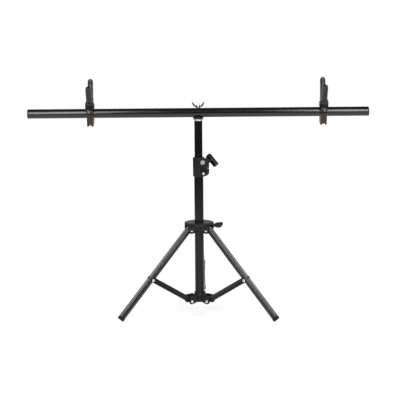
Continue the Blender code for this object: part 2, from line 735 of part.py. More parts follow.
def make_leg(name, direction):
    """The leg's local Z is its tube axis and its local X faces outwards."""
    turn = empty(f"leg_side_{name}", CANOPY_BODY, rotation=facing(direction))
    hinge = empty(f"leg_hinge_{name}", turn, (LEG_HINGE_RADIUS, 0, 0), (0, -LEG_SPREAD, 0))
    radius = LEG_DIAMETER / 2
    offset = (LEG_AXIS_OFFSET, 0, 0)
    tube_end = -LEG_LENGTH + FOOT_LIP + FIT_GAP
    mesh = tube_mesh("leg_tube", radius, LEG_WALL, tube_end, LEG_TOP_LENGTH, LEG_SIDES)
    tube = piece(f"leg_tube_{name}", mesh, BLACK_PAINT, hinge, offset)
    hole = rod_mesh("leg_hole", RIVET_DIAMETER / 2 + PIN_GAP, (0, -LEG_DIAMETER, 0), (0, LEG_DIAMETER, 0))
    cut(tube, tool(f"leg_hole_{name}", hole, hinge))
    bore = radius - LEG_WALL
    rivet_hole = rod_mesh(
        "leg_rivet_hole",
        LEG_RIVET_DIAMETER / 2 + PIN_GAP,
        (LEG_AXIS_OFFSET, 0, -CLIP_DISTANCE),
        (LEG_AXIS_OFFSET + LEG_DIAMETER, 0, -CLIP_DISTANCE),
    )
    cut(tube, tool(f"leg_rivet_hole_{name}", rivet_hole, hinge))
    rivet = rivet_mesh(
        "leg_rivet",
        LEG_RIVET_DIAMETER / 2,
        LEG_RIVET_HEAD_DIAMETER / 2,
        LEG_RIVET_HEAD_HEIGHT,
        bore - LEG_WALL,
        radius + FIT_GAP,
        two_heads=False,
    )
    place = (LEG_AXIS_OFFSET, 0, -CLIP_DISTANCE)
    piece(f"leg_rivet_{name}", rivet, BLACK_PAINT, hinge, place, (0, math.radians(90), 0))
    shank = bore - FIT_GAP
    profile = [
        (0, tube_end + FOOT_SHANK),
        (shank - FOOT_EDGE, tube_end + FOOT_SHANK),
        (shank, tube_end + FOOT_SHANK - FOOT_EDGE),
        (shank, tube_end - FIT_GAP),
        (FOOT_RADIUS, tube_end - FIT_GAP),
        (FOOT_RADIUS, -LEG_LENGTH),
        (0, -LEG_LENGTH),
    ]
    foot = piece(f"foot_{name}", turned_mesh("foot", profile, LEG_SIDES), BLACK_RUBBER, hinge, offset)
    floor_size = 4 * FOOT_DIAMETER
    reach = LEG_HINGE_RADIUS + LEG_LENGTH * math.sin(LEG_SPREAD)
    floor = box_mesh("floor", (floor_size, floor_size, floor_size), (reach, 0, -floor_size / 2))
    ground = empty(f"ground_{name}", STAND, rotation=facing(direction))
    cut(foot, tool(f"floor_{name}", floor, ground))


def make_strut(name, direction):
    """The strut's local X runs from the lower hub to the leg and its web faces local +Z."""
    turn = empty(f"strut_side_{name}", STAND, rotation=facing(direction))
    pivot = (STRUT_HINGE_RADIUS, 0, LOWER_PIVOT_HEIGHT)
    hinge = empty(f"strut_hinge_{name}", turn, pivot, (0, -STRUT_SLOPE, 0))
    high = STRUT_HEIGHT - STRUT_EDGE_DROP
    end_round = STRUT_EDGE_DROP
    side = arc((0, 0), end_round, -90, -180, 4)
    side += [(-end_round, high - STRUT_HUB_CORNER), (-end_round + STRUT_HUB_CORNER, high)]
    leg_end = STRUT_LENGTH + end_round
    side += [(leg_end - STRUT_LEG_CORNER, high), (leg_end, high - STRUT_LEG_CORNER)]
    side += arc((STRUT_LENGTH, 0), end_round, 0, -90, 4)
    mesh = outline_mesh("strut", side, 2 * STRUT_OUTER)
    mesh.transform(Matrix.Rotation(math.radians(90), 4, "X"))
    strut = piece(f"strut_{name}", mesh, BLACK_PAINT, hinge)
    length = STRUT_LENGTH + 4 * end_round
    channel = box_mesh(
        "strut_channel",
        (length, 2 * STRUT_INNER, STRUT_HEIGHT),
        (STRUT_LENGTH / 2, 0, high - STRUT_SHEET - STRUT_HEIGHT / 2),
    )
    cut(strut, tool(f"strut_channel_{name}", channel, hinge))
    open_end = STRUT_WEB_CUTBACK + 2 * end_round
    opening = box_mesh(
        "strut_opening",
        (open_end, 2 * STRUT_INNER, 2 * STRUT_HEIGHT),
        (STRUT_LENGTH - STRUT_WEB_CUTBACK + open_end / 2, 0, 0),
    )
    cut(strut, tool(f"strut_opening_{name}", opening, hinge))
    reach = STRUT_OUTER + RIVET_HEAD_HEIGHT
    hole_radius = RIVET_DIAMETER / 2 + PIN_GAP
    for place, along in (("hub", 0), ("leg", STRUT_LENGTH)):
        hole = rod_mesh("strut_hole", hole_radius, (along, -reach, 0), (along, reach, 0))
        cut(strut, tool(f"strut_hole_{place}_{name}", hole, hinge))
    shank = rivet_mesh(
        "strut_rivet",
        RIVET_DIAMETER / 2,
        RIVET_HEAD_DIAMETER / 2,
        RIVET_HEAD_HEIGHT,
        STRUT_INNER,
        STRUT_OUTER + FIT_GAP,
        two_heads=False,
    )
    for side_name, quarter in (("near", 90), ("far", -90)):
        rivet = shank.copy()
        rivet.materials.clear()
        label = f"strut_rivet_{side_name}_{name}"
        piece(label, rivet, BRIGHT_STEEL, hinge, (STRUT_LENGTH, 0, 0), (math.radians(quarter), 0, 0))


# The collar's local X runs along its lug, with heights measured from the lower tube's top
COLLAR_BODY = empty("collar", STAND, (0, 0, TUBE_TOP), facing(COLLAR_DIRECTION))
LUG_HALF = COLLAR_LUG_WIDTH / 2


def make_collar():
    lower_bore = COLUMN_RADIUS + FIT_GAP
    upper_bore = UPPER_TUBE_DIAMETER / 2 + FIT_GAP
    outer = lower_bore + COLLAR_WALL
    chamfer = COLLAR_CHAMFER
    sleeve = [
        (outer - chamfer, COLLAR_RISE),
        (outer, COLLAR_RISE - chamfer),
        (outer, chamfer - COLLAR_DROP),
        (outer - chamfer, -COLLAR_DROP),
        (lower_bore, -COLLAR_DROP),
        (lower_bore, FIT_GAP),
        (upper_bore, FIT_GAP),
        (upper_bore, COLLAR_RISE),
    ]
    collar = piece(
        "lock_collar",
        turned_mesh("lock_collar", sleeve, TUBE_SIDES, closed=True),
        BLACK_PLASTIC,
        COLLAR_BODY,
    )
    root = (lower_bore + outer) / 2
    top = COLLAR_RISE - COLLAR_LUG_INSET
    low = COLLAR_LUG_INSET - COLLAR_DROP
    corners = [
        (root, top),
        (COLLAR_LUG_REACH - COLLAR_LUG_SHOULDER[0], top),
        (COLLAR_LUG_REACH, top - COLLAR_LUG_SHOULDER[1]),
        (COLLAR_LUG_REACH, low + COLLAR_LUG_FOOT[1]),
        (COLLAR_LUG_REACH - COLLAR_LUG_FOOT[0], low + COLLAR_LUG_SLOPE),
        (root, low - COLLAR_LUG_SLOPE),
    ]
    upright = (math.radians(90), 0, 0)
    lug = outline_mesh("collar_lug", rounded(corners, COLLAR_LUG_ROUND), COLLAR_LUG_WIDTH)
    join(collar, tool("collar_lug", lug, COLLAR_BODY, rotation=upright))
    knob_boss = rod_mesh(
        "collar_boss",
        NUT_FLATS / 2 + COLLAR_BOSS_MARGIN,
        (COLLAR_BOLT_OFFSET, LUG_HALF - JOIN_DEPTH, COLLAR_BOLT_RISE),
        (COLLAR_BOLT_OFFSET, LUG_HALF + COLLAR_BOSS_HEIGHT, COLLAR_BOLT_RISE),
        BOSS_SIDES,
    )
    join(collar, tool("collar_boss", knob_boss, COLLAR_BODY))
    tall = 2 * COLLAR_RISE
    split_start = upper_bore - COLLAR_SLIT
    split = box_mesh(
        "collar_split",
        (2 * COLLAR_LUG_REACH, COLLAR_SLIT, tall),
        (split_start + COLLAR_LUG_REACH, 0, tall / 2 - COLLAR_SLIT / 2),
    )
    cut(collar, tool("collar_split", split, COLLAR_BODY))
    level = box_mesh(
        "collar_level_slit",
        (2 * COLLAR_LUG_REACH, 4 * LUG_HALF, COLLAR_SLIT),
        (upper_bore / 2 + COLLAR_LUG_REACH, 0, 0),
    )
    cut(collar, tool("collar_level_slit", level, COLLAR_BODY))
    reach = 3 * LUG_HALF
    bolt_hole = rod_mesh(
        "collar_bolt_hole",
        BOLT_DIAMETER / 2 + FIT_GAP,
        (COLLAR_BOLT_OFFSET, -reach, COLLAR_BOLT_RISE),
        (COLLAR_BOLT_OFFSET, reach, COLLAR_BOLT_RISE),
    )
    cut(collar, tool("collar_bolt_hole", bolt_hole, COLLAR_BODY))
    screw_place = (COLLAR_BOLT_OFFSET, 0, -COLLAR_SCREW_DROP)
    screw_hole = rod_mesh(
        "collar_screw_hole",
        COLLAR_SCREW_DIAMETER / 2 + FIT_GAP,
        (COLLAR_BOLT_OFFSET, -reach, -COLLAR_SCREW_DROP),
        (COLLAR_BOLT_OFFSET, reach, -COLLAR_SCREW_DROP),
    )
    cut(collar, tool("collar_screw_hole", screw_hole, COLLAR_BODY))
    screw = rivet_mesh(
        "collar_screw",
        COLLAR_SCREW_DIAMETER / 2,
        COLLAR_SCREW_HEAD_DIAMETER / 2,
        COLLAR_SCREW_HEAD_HEIGHT,
        -LUG_HALF,
        LUG_HALF + FIT_GAP,
        two_heads=False,
    )
    piece("collar_screw", screw, BRIGHT_STEEL, COLLAR_BODY, screw_place, upright)
    nut_mesh = rod_mesh(
        "collar_nut",
        NUT_FLATS / math.sqrt(3),
        (0, 0, LUG_HALF + FIT_GAP),
        (0, 0, LUG_HALF + FIT_GAP + NUT_HEIGHT),
        6,
    )
    nut_place = (COLLAR_BOLT_OFFSET, 0, COLLAR_BOLT_RISE)
    nut = piece("collar_nut", nut_mesh, BRIGHT_STEEL, COLLAR_BODY, nut_place, upright)
    nut_bore = rod_mesh("nut_bore", BOLT_DIAMETER / 2 + FIT_GAP, (0, 0, 0), (0, 0, 2 * COLLAR_LUG_WIDTH))
    cut(nut, tool("nut_bore", nut_bore, COLLAR_BODY, nut_place, upright))


def make_lock_knob():
    """The knob's local Z is the bolt's axis and points away from the collar's lug."""
    place = (COLLAR_BOLT_OFFSET, 0, COLLAR_BOLT_RISE)
    axis = empty("lock_knob_axis", COLLAR_BODY, place, (math.radians(-90), 0, 0))
    neck_start = LUG_HALF + COLLAR_BOSS_HEIGHT + FIT_GAP
    handle_start = neck_start + LOCK_NECK_LENGTH
    half_length = LOCK_HANDLE_LENGTH / 2
    half_depth = LOCK_HANDLE_DEPTH / 2
    corners = [
        (-half_length, -half_depth),
        (half_length, -half_depth),
        (half_length, half_depth),
        (-half_length, half_depth),
    ]
    bar = outline_mesh("lock_knob", rounded(corners, LOCK_HANDLE_ROUND), LOCK_HANDLE_HEIGHT)
    bar.transform(Matrix.Rotation(math.radians(90), 4, "X"))
    bar.transform(Matrix.Rotation(LOCK_HANDLE_TURN, 4, "Z"))
    bar.transform(Matrix.Translation((0, 0, handle_start + half_depth)))
    knob = piece("lock_knob", bar, BLACK_PLASTIC, axis)
    neck = rod_mesh(
        "lock_neck",
        NUT_FLATS / 2,
        (0, 0, neck_start),
        (0, 0, handle_start + JOIN_DEPTH),
        BOSS_SIDES,
        LOCK_NECK_DIAMETER / 2,
    )
    join(knob, tool("lock_neck", neck, axis))
    bolt_end = neck_start + LOCK_BOLT_GRIP
    bore = rod_mesh("lock_bore", BOLT_DIAMETER / 2 + FIT_GAP, (0, 0, 0), (0, 0, bolt_end + FIT_GAP))
    cut(knob, tool("lock_bore", bore, axis))
    near_end = -(LUG_HALF + FIT_GAP + NUT_HEIGHT + LOCK_BOLT_END)
    bolt = rod_mesh("lock_bolt", BOLT_DIAMETER / 2, (0, 0, near_end), (0, 0, bolt_end))
    piece("lock_bolt", bolt, BRIGHT_STEEL, axis)


UPPER_BODY = empty("upper_stage", STAND, (0, 0, UPPER_TUBE_TOP))


def make_upper_stage():
    """Heights here are measured from the upper tube's top."""
    radius = UPPER_TUBE_DIAMETER / 2
    bore = radius - COLUMN_WALL
    shank = bore - FIT_GAP
    mesh = tube_mesh("upper_tube", radius, COLUMN_WALL, -UPPER_TUBE_LENGTH, 0, TUBE_SIDES)
    piece("upper_tube", mesh, BLACK_PAINT, UPPER_BODY)
    end = -UPPER_TUBE_LENGTH - FIT_GAP
    glide = [
        (0, end + GLIDE_SHANK),
        (shank, end + GLIDE_SHANK),
        (shank, end),
        (radius, end),
        (radius, end - GLIDE_FLANGE),
        (0, end - GLIDE_FLANGE),
    ]
    piece("tube_glide", turned_mesh("tube_glide", glide, LEG_SIDES), BLACK_PLASTIC, UPPER_BODY)
    stud = STUD_DIAMETER / 2
    flange = SPIGOT_FLANGE_DIAMETER / 2
    stud_top = BAR_HEIGHT + BAR_RADIUS + STUD_RISE - UPPER_TUBE_TOP
    chamfer = SMALL_CHAMFER
    spigot = [
        (0, stud_top),
        (stud - chamfer, stud_top),
        (stud, stud_top - chamfer),
        (stud, SPIGOT_FLANGE_HEIGHT),
        (flange - chamfer, SPIGOT_FLANGE_HEIGHT),
        (flange, SPIGOT_FLANGE_HEIGHT - chamfer),
        (flange, FIT_GAP),
        (shank, FIT_GAP),
        (shank, -SPIGOT_SHANK),
        (0, -SPIGOT_SHANK),
    ]
    piece("spigot", turned_mesh("spigot", spigot, LEG_SIDES), BRIGHT_STEEL, UPPER_BODY)


BAR_BODY = empty("crossbar_swivel", STAND, (0, 0, BAR_HEIGHT))


def make_crossbar():
    """Heights here are measured from the bar's axis."""
    stud_hole = STUD_DIAMETER / 2 + PIN_GAP
    low = SADDLE_BOTTOM - BAR_HEIGHT
    seat = low + SADDLE_SEAT
    high = seat + SADDLE_LIP
    radius = SADDLE_DIAMETER / 2
    taper = SADDLE_TAPER
    profile = [
        (radius, high),
        (radius, low + taper),
        (radius - taper, low),
        (stud_hole, low),
        (stud_hole, high),
    ]
    saddle_mesh = turned_mesh("saddle", profile, TUBE_SIDES, closed=True)
    saddle = piece("saddle", saddle_mesh, BLACK_PLASTIC, BAR_BODY)
    trough = rod_mesh(
        "saddle_trough",
        BAR_RADIUS + FIT_GAP,
        (-SADDLE_DIAMETER, 0, 0),
        (SADDLE_DIAMETER, 0, 0),
        TUBE_SIDES,
    )
    cut(saddle, tool("saddle_trough", trough, BAR_BODY))
    half = BAR_LENGTH / 2 - CAP_FLANGE - FIT_GAP
    bar_mesh = tube_mesh("crossbar", BAR_RADIUS, BAR_WALL, -half, half, TUBE_SIDES)
    bar_mesh.transform(Matrix.Rotation(math.radians(90), 4, "Y"))
    bar = piece("crossbar", bar_mesh, BLACK_PAINT, BAR_BODY)
    hole = rod_mesh("bar_hole", stud_hole, (0, 0, -BAR_DIAMETER), (0, 0, BAR_DIAMETER))
    cut(bar, tool("bar_hole", hole, BAR_BODY))
    bore = BAR_RADIUS - BAR_WALL - FIT_GAP
    end = BAR_LENGTH / 2
    edge = SMALL_CHAMFER
    cap = [
        (0, end),
        (BAR_RADIUS - edge, end),
        (BAR_RADIUS, end - edge),
        (BAR_RADIUS, end - CAP_FLANGE),
        (bore, end - CAP_FLANGE),
        (bore, end - CAP_FLANGE - CAP_SHANK),
        (0, end - CAP_FLANGE - CAP_SHANK),
    ]
    for name, turn in (("left", -90), ("right", 90)):
        mesh = turned_mesh("bar_cap", cap, TUBE_SIDES)
        piece(f"bar_cap_{name}", mesh, BLACK_PLASTIC, BAR_BODY, rotation=(0, math.radians(turn), 0))


def make_wing_nut():
    place = (0, 0, BAR_HEIGHT + BAR_RADIUS + FIT_GAP)
    axis = empty("wing_nut_axis", STAND, place)
    base = WING_BASE_DIAMETER / 2
    base_top = WING_BASE_TOP_DIAMETER / 2
    bore = STUD_DIAMETER / 2 + FIT_GAP
    profile = [
        (base_top, WING_BASE_HEIGHT),
        (base, WING_BASE_EDGE[1]),
        (base - WING_BASE_EDGE[0], 0),
        (bore, 0),
        (bore, WING_BASE_HEIGHT),
    ]
    nut = piece("wing_nut", turned_mesh("wing_nut", profile, BOSS_SIDES, closed=True), BRIGHT_STEEL, axis)
    half = WING_SPAN / 2
    root = (bore + base_top) / 2
    corners = [
        (root, WING_ROOT_RISE),
        WING_ELBOW,
        (half, WING_HEIGHT - WING_TIP[1]),
        (half - WING_TIP[0], WING_HEIGHT),
        WING_THROAT,
        (root, WING_BASE_HEIGHT - SMALL_CHAMFER),
    ]
    for name, turn in (("left", 180), ("right", 0)):
        wing = outline_mesh("wing", rounded(corners, WING_ROUND), WING_THICKNESS)
        wing.transform(Matrix.Rotation(math.radians(90), 4, "X"))
        join(nut, tool(f"wing_{name}", wing, axis, rotation=(0, 0, math.radians(turn))))


# The clamps' places along the bar, from its middle
CLAMP_PLACES = {
    "left": CLAMP_FROM_BAR_END["left"] - BAR_LENGTH / 2,
    "right": BAR_LENGTH / 2 - CLAMP_FROM_BAR_END["right"],
}

# Clamp geometry in its own plane: across is the distance behind the bar's axis and up is
# the height over it
PIVOT_UP = BAR_RADIUS + CLAMP_PIVOT_RISE
HANDLE_RUN = (math.sin(HANDLE_ANGLE), math.cos(HANDLE_ANGLE))
HANDLE_OUT = (math.cos(HANDLE_ANGLE), -math.sin(HANDLE_ANGLE))
JAW_TIP_UP = -BAR_RADIUS - JAW_TIP_DROP


def handle_point(out, along):
    """A point beside the clamp's pivot, out from the handle's line and along it."""
    across = HANDLE_OUT[0] * out + HANDLE_RUN[0] * along
    return (across, PIVOT_UP + HANDLE_OUT[1] * out + HANDLE_RUN[1] * along)


def pad_point(along, out):
    """A point on the pad's side, along its face from the touching line and out from it."""
    face_out = (math.cos(PAD_ANGLE), -math.sin(PAD_ANGLE))
    face_run = (-math.sin(PAD_ANGLE), -math.cos(PAD_ANGLE))
    across = face_out[0] * (BAR_RADIUS + out) + face_run[0] * along
    return (across, face_out[1] * (BAR_RADIUS + out) + face_run[1] * along)


PAD_PIVOT = pad_point(PAD_PIVOT_ALONG, PAD_PIVOT_OUT)
REAR_CHEEK_OUTER = FRONT_CHEEK_OUTER - CHEEK_WALL - FIT_GAP
SPRING_POCKET = REAR_CHEEK_OUTER - CHEEK_WALL
SIDE_VIEW = Matrix.Rotation(math.radians(90), 4, "Z") @ Matrix.Rotation(math.radians(90), 4, "X")


def lever_side():
    """Side outline of the rear lever, from the handle's top down its outer edge."""
    outer = HANDLE_STANDOFF + HANDLE_THICKNESS
    end = HANDLE_LENGTH
    round_end = 0.4 * HANDLE_THICKNESS
    points = [
        handle_point(HANDLE_STANDOFF + LEVER_EDGE, end),
        handle_point(outer - LEVER_EDGE, end),
        handle_point(outer, end - round_end),
        handle_point(outer, LEVER_BEND),
    ]
    points += arc((0, 0), BAR_RADIUS + JAW_BAR_GAP + JAW_WALL, 38, -18, 5)
    tip_back = (PAD_PIVOT[0] + JAW_TIP_BACK, JAW_TIP_UP + LEVER_EDGE)
    points += [(PAD_PIVOT[0] + JAW_BACK[0], PAD_PIVOT[1] + JAW_BACK[1]), tip_back]
    inner_out = FIT_GAP + PAD_THICKNESS + PAD_BACK_GAP
    tip_along = -(JAW_TIP_UP + math.sin(PAD_ANGLE) * (BAR_RADIUS + inner_out)) / math.cos(PAD_ANGLE)
    points += [pad_point(tip_along, inner_out), pad_point(PAD_START, inner_out)]
    points += arc((0, 0), BAR_RADIUS + JAW_BAR_GAP, 0, 42, 4)
    points += arc((0, PIVOT_UP), CLAMP_HUB_RADIUS, -40, -270, 10)
    points += [handle_point(HANDLE_STANDOFF, LEVER_BEND + JOIN_DEPTH)]
    points += [handle_point(HANDLE_STANDOFF, end - round_end)]
    return points


def lever_front(ear_half):
    """Front outline of a lever: half widths against height, with a notch at the tip."""
    top = handle_point(HANDLE_STANDOFF, HANDLE_LENGTH)[1] + LEVER_EDGE
    handle = HANDLE_WIDTH / 2
    jaw = JAW_WIDTH / 2
    ear_low = PIVOT_UP - CLAMP_HUB_RADIUS - EAR_LOW_MARGIN
    ear_high = PIVOT_UP + CLAMP_HUB_RADIUS + EAR_HIGH_MARGIN
    below = LEVER_EDGE
    right = [
        (NOTCH_WIDTH / 2, JAW_TIP_UP - below),
        (jaw, JAW_TIP_UP - below),
        (jaw, ear_low - EAR_LOW_SLOPE),
        (ear_half, ear_low),
        (ear_half, ear_high),
        (handle + HANDLE_FLARE, ear_high + EAR_HIGH_SLOPE),
    ]
    right += arc((0, top - handle), handle, 0, 90, 6)
    left = [(-x, y) for x, y in reversed(right[:-1])]
    return right + left + [(0, JAW_TIP_UP + NOTCH_HEIGHT)]


def make_lever(name, parent, side, ear_half, pocket_half):
    """side is 1 for the rear lever and -1 for the front one."""
    outline = [(side * across, up) for across, up in lever_side()]
    mesh = outline_mesh(name, outline, 2 * FRONT_CHEEK_OUTER + 2 * JOIN_DEPTH)
    mesh.transform(SIDE_VIEW)
    lever = piece(name, mesh, BLACK_PLASTIC, parent)
    front = outline_mesh("lever_front", lever_front(ear_half), 4 * HANDLE_LENGTH)
    front.transform(Matrix.Rotation(math.radians(90), 4, "X"))
    keep_common(lever, tool(f"{name}_front", front, parent))
    pocket = rod_mesh(
        "lever_pocket",
        CLAMP_HUB_RADIUS + LEVER_POCKET_GAP,
        (-pocket_half, 0, PIVOT_UP),
        (pocket_half, 0, PIVOT_UP),
        BOSS_SIDES,
    )
    cut(lever, tool(f"{name}_pocket", pocket, parent))
    hole_reach = 2 * FRONT_CHEEK_OUTER
    hole = rod_mesh(
        "lever_hole",
        CLAMP_PIN_DIAMETER / 2 + PIN_GAP,
        (-hole_reach, 0, PIVOT_UP),
        (hole_reach, 0, PIVOT_UP),
    )
    cut(lever, tool(f"{name}_hole", hole, parent))
    pad_hole = rod_mesh(
        "pad_hole",
        PAD_PIN_DIAMETER / 2 + PIN_GAP,
        (-hole_reach, side * PAD_PIVOT[0], PAD_PIVOT[1]),
        (hole_reach, side * PAD_PIVOT[0], PAD_PIVOT[1]),
    )
    cut(lever, tool(f"{name}_pad_hole", pad_hole, parent))
    outer = HANDLE_STANDOFF + HANDLE_THICKNESS
    half = HANDLE_RECESS_WIDTH / 2
    stadium = arc((0, RECESS_END), half, 0, 180, ARC_STEPS)
    stadium += arc((0, RECESS_START), half, 180, 360, ARC_STEPS)
    recess = outline_mesh("recess", stadium, 2 * HANDLE_RECESS_DEPTH)
    recess.transform(Matrix.Rotation(math.radians(90), 4, "X"))
    place = handle_point(outer, 0)
    turn = (-side * HANDLE_ANGLE, 0, 0)
    cut(lever, tool(f"{name}_recess", recess, parent, (0, side * place[0], place[1]), turn))
    return lever


def make_pad(name, parent, side):
    """A gripping pad whose origin is on its own pin, with its plate towards the bar."""
    face = FIT_GAP - PAD_PIVOT_OUT
    high = PAD_PIVOT_ALONG - PAD_START
    low = high - PAD_LENGTH
    outline = [
        (face, low),
        (face + PAD_THICKNESS, low),
        (face + PAD_THICKNESS, PAD_BOSS_HEIGHT),
        (face + PAD_TOP_THICKNESS, high),
        (face, high),
    ]
    plate = outline_mesh(name, [(side * out, up) for out, up in outline], PAD_WIDTH)
    plate.transform(SIDE_VIEW)
    place = (0, side * PAD_PIVOT[0], PAD_PIVOT[1])
    turn = (side * -PAD_ANGLE, 0, 0)
    pad = piece(name, plate, ORANGE_PAD, parent, place, turn)
    boss_out = (FIT_GAP + PAD_THICKNESS - PAD_PIVOT_OUT - LEVER_EDGE) * side
    boss = box_mesh("pad_boss", (PAD_BOSS_WIDTH, abs(boss_out), PAD_BOSS_HEIGHT), (0, boss_out / 2, 0))
    join(pad, tool(f"{name}_boss", boss, parent, place, turn))
    pin_half = PAD_PIN_LENGTH / 2
    pin = rod_mesh("pad_pin", PAD_PIN_DIAMETER / 2, (-pin_half, 0, 0), (pin_half, 0, 0))
    join(pad, tool(f"{name}_pin", pin, parent, place, turn))


def spring_path():
    """Centreline of the torsion spring, across the clamp's pivot along X."""
    width = SPRING_CURLS * SPRING_PITCH
    leg_angle = math.degrees(HANDLE_ANGLE)
    sweep = 360 * SPRING_CURLS + 2 * leg_angle - 180
    count = round(sweep / 360 * SPRING_POINTS_PER_CURL)
    path = []
    for i in range(count + 1):
        share = i / count
        angle = math.radians(180 - leg_angle + 180 + sweep * share)
        across = SPRING_RADIUS * math.cos(angle)
        up = PIVOT_UP - SPRING_RADIUS * math.sin(angle)
        path.append((width * (share - 0.5), across, up))
    first = path[0]
    last = path[-1]
    run = HANDLE_RUN
    begin = (first[0], first[1] - run[0] * SPRING_LEG, first[2] + run[1] * SPRING_LEG)
    finish_at = (last[0], last[1] + run[0] * SPRING_LEG, last[2] + run[1] * SPRING_LEG)
    return [begin] + path + [finish_at]


def least_spring_gap(path):
    """Smallest clear distance between curls, measured on the path's own points."""
    least = math.inf
    reach = SPRING_POINTS_PER_CURL // 2
    for i, one in enumerate(path):
        for other in path[i + reach:]:
            distance = (Vector(one) - Vector(other)).length
            least = min(least, distance)
    return least - SPRING_WIRE


def make_clamp(name, place):
    """The clamp's local X runs along the bar, Y behind it and Z up the handles."""
    frame = empty(f"clamp_{name}", BAR_BODY, (place, 0, 0), (CLAMP_LEAN, 0, 0))
    make_lever(f"front_jaw_{name}", frame, -1, FRONT_CHEEK_OUTER, REAR_CHEEK_OUTER + FIT_GAP)
    make_lever(f"rear_jaw_{name}", frame, 1, REAR_CHEEK_OUTER, SPRING_POCKET)
    make_pad(f"front_pad_{name}", frame, -1)
    make_pad(f"rear_pad_{name}", frame, 1)
    pin_half = FRONT_CHEEK_OUTER + CLAMP_PIN_END
    pin = rod_mesh(
        f"clamp_pin_{name}",
        CLAMP_PIN_DIAMETER / 2,
        (-pin_half, 0, 0),
        (pin_half, 0, 0),
    )
    piece(f"clamp_pin_{name}", pin, BRIGHT_STEEL, frame, (0, 0, PIVOT_UP))
    spring = wire_mesh(f"clamp_spring_{name}", spring_path(), SPRING_WIRE, 1)
    piece(f"clamp_spring_{name}", spring, BRIGHT_STEEL, frame)


make_lower_tube()
make_lower_hub()
make_canopy()
make_canopy_knob()
for leg_name, leg_direction in LEG_DIRECTIONS.items():
    make_leg(leg_name, leg_direction)
    make_strut(leg_name, leg_direction)
make_collar()
make_lock_knob()
make_upper_stage()
make_crossbar()
make_wing_nut()
for clamp_name, clamp_place in CLAMP_PLACES.items():
    make_clamp(clamp_name, clamp_place)
print(f"least gap between spring curls: {least_spring_gap(spring_path()) / MM:.2f} mm")
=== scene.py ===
"""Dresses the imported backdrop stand: tripod, column, crossbar and spring clamps, in a pale studio.

Everything is in metres, with +Z up. The crossbar runs along X and the front faces -Y.
"""

import json
import math

import bpy
from mathutils import Matrix, Vector


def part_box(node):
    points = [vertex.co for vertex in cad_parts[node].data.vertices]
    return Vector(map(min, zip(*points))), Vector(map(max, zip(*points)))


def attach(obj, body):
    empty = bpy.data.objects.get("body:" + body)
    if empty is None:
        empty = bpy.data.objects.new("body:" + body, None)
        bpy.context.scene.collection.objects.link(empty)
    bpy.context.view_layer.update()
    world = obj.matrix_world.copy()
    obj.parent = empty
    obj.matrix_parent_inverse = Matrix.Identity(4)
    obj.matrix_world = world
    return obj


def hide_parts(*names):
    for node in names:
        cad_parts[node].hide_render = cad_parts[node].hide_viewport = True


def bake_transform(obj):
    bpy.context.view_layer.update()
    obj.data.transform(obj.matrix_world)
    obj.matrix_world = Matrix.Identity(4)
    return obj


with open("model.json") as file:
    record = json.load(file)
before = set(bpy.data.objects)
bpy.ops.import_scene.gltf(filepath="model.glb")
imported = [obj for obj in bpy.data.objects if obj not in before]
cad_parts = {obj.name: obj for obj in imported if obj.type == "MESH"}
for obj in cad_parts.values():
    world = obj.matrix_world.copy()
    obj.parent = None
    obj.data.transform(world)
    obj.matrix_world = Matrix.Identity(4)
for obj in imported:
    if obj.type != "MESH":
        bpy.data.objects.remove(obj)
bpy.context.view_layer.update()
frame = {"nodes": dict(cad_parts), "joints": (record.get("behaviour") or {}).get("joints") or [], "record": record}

# The studio: a pale floor that ends before the camera, a tall softbox on each side of it,
# one at each side of the stand, and a white wall behind, seen by a long lens from above.

FLOOR_WIDTH = 2.6
FLOOR_DEPTH = 6.0
FLOOR_FRONT = -1.5
FLOOR_GREY = (0.22, 0.22, 0.22, 1)
FLOOR_GLOW = (0.82, 1.0)
FLOOR_GLOW_REACH = (0.25, 1.1)
bpy.ops.object.select_all(action="DESELECT")
bpy.ops.mesh.primitive_plane_add(size=1)
floor = bpy.context.object
floor.name = "studio_floor"
bpy.ops.object.mode_set(mode="EDIT")
bpy.ops.mesh.subdivide(number_cuts=3)
bpy.ops.transform.resize(value=(FLOOR_WIDTH, FLOOR_DEPTH, 1))
bpy.ops.transform.translate(value=(0, FLOOR_FRONT + FLOOR_DEPTH / 2, 0))
bpy.ops.object.mode_set(mode="OBJECT")
bpy.ops.object.transform_apply(location=True, rotation=True, scale=True)

floor_paint = bpy.data.materials.new("studio_floor_paint")
floor_paint.use_nodes = True
paint_nodes = floor_paint.node_tree.nodes
paint_links = floor_paint.node_tree.links
paint_nodes.remove(paint_nodes["Principled BSDF"])
matt = paint_nodes.new("ShaderNodeBsdfDiffuse")
matt.inputs["Color"].default_value = FLOOR_GREY
glow = paint_nodes.new("ShaderNodeEmission")
floor_place = paint_nodes.new("ShaderNodeTexCoord")
floor_reach = paint_nodes.new("ShaderNodeVectorMath")
floor_reach.operation = "LENGTH"
brighter_outwards = paint_nodes.new("ShaderNodeMapRange")
brighter_outwards.interpolation_type = "SMOOTHSTEP"
brighter_outwards.inputs["From Min"].default_value = FLOOR_GLOW_REACH[0]
brighter_outwards.inputs["From Max"].default_value = FLOOR_GLOW_REACH[1]
brighter_outwards.inputs["To Min"].default_value = FLOOR_GLOW[0]
brighter_outwards.inputs["To Max"].default_value = FLOOR_GLOW[1]
paint_links.new(floor_place.outputs["Object"], floor_reach.inputs[0])
paint_links.new(floor_reach.outputs["Value"], brighter_outwards.inputs["Value"])
paint_links.new(brighter_outwards.outputs["Result"], glow.inputs["Color"])
rays = paint_nodes.new("ShaderNodeLightPath")
camera_or_gloss = paint_nodes.new("ShaderNodeMath")
camera_or_gloss.operation = "MAXIMUM"
seen_directly = paint_nodes.new("ShaderNodeMath")
seen_directly.operation = "MAXIMUM"
both = paint_nodes.new("ShaderNodeAddShader")
paint_links.new(rays.outputs["Is Camera Ray"], camera_or_gloss.inputs[0])
paint_links.new(rays.outputs["Is Glossy Ray"], camera_or_gloss.inputs[1])
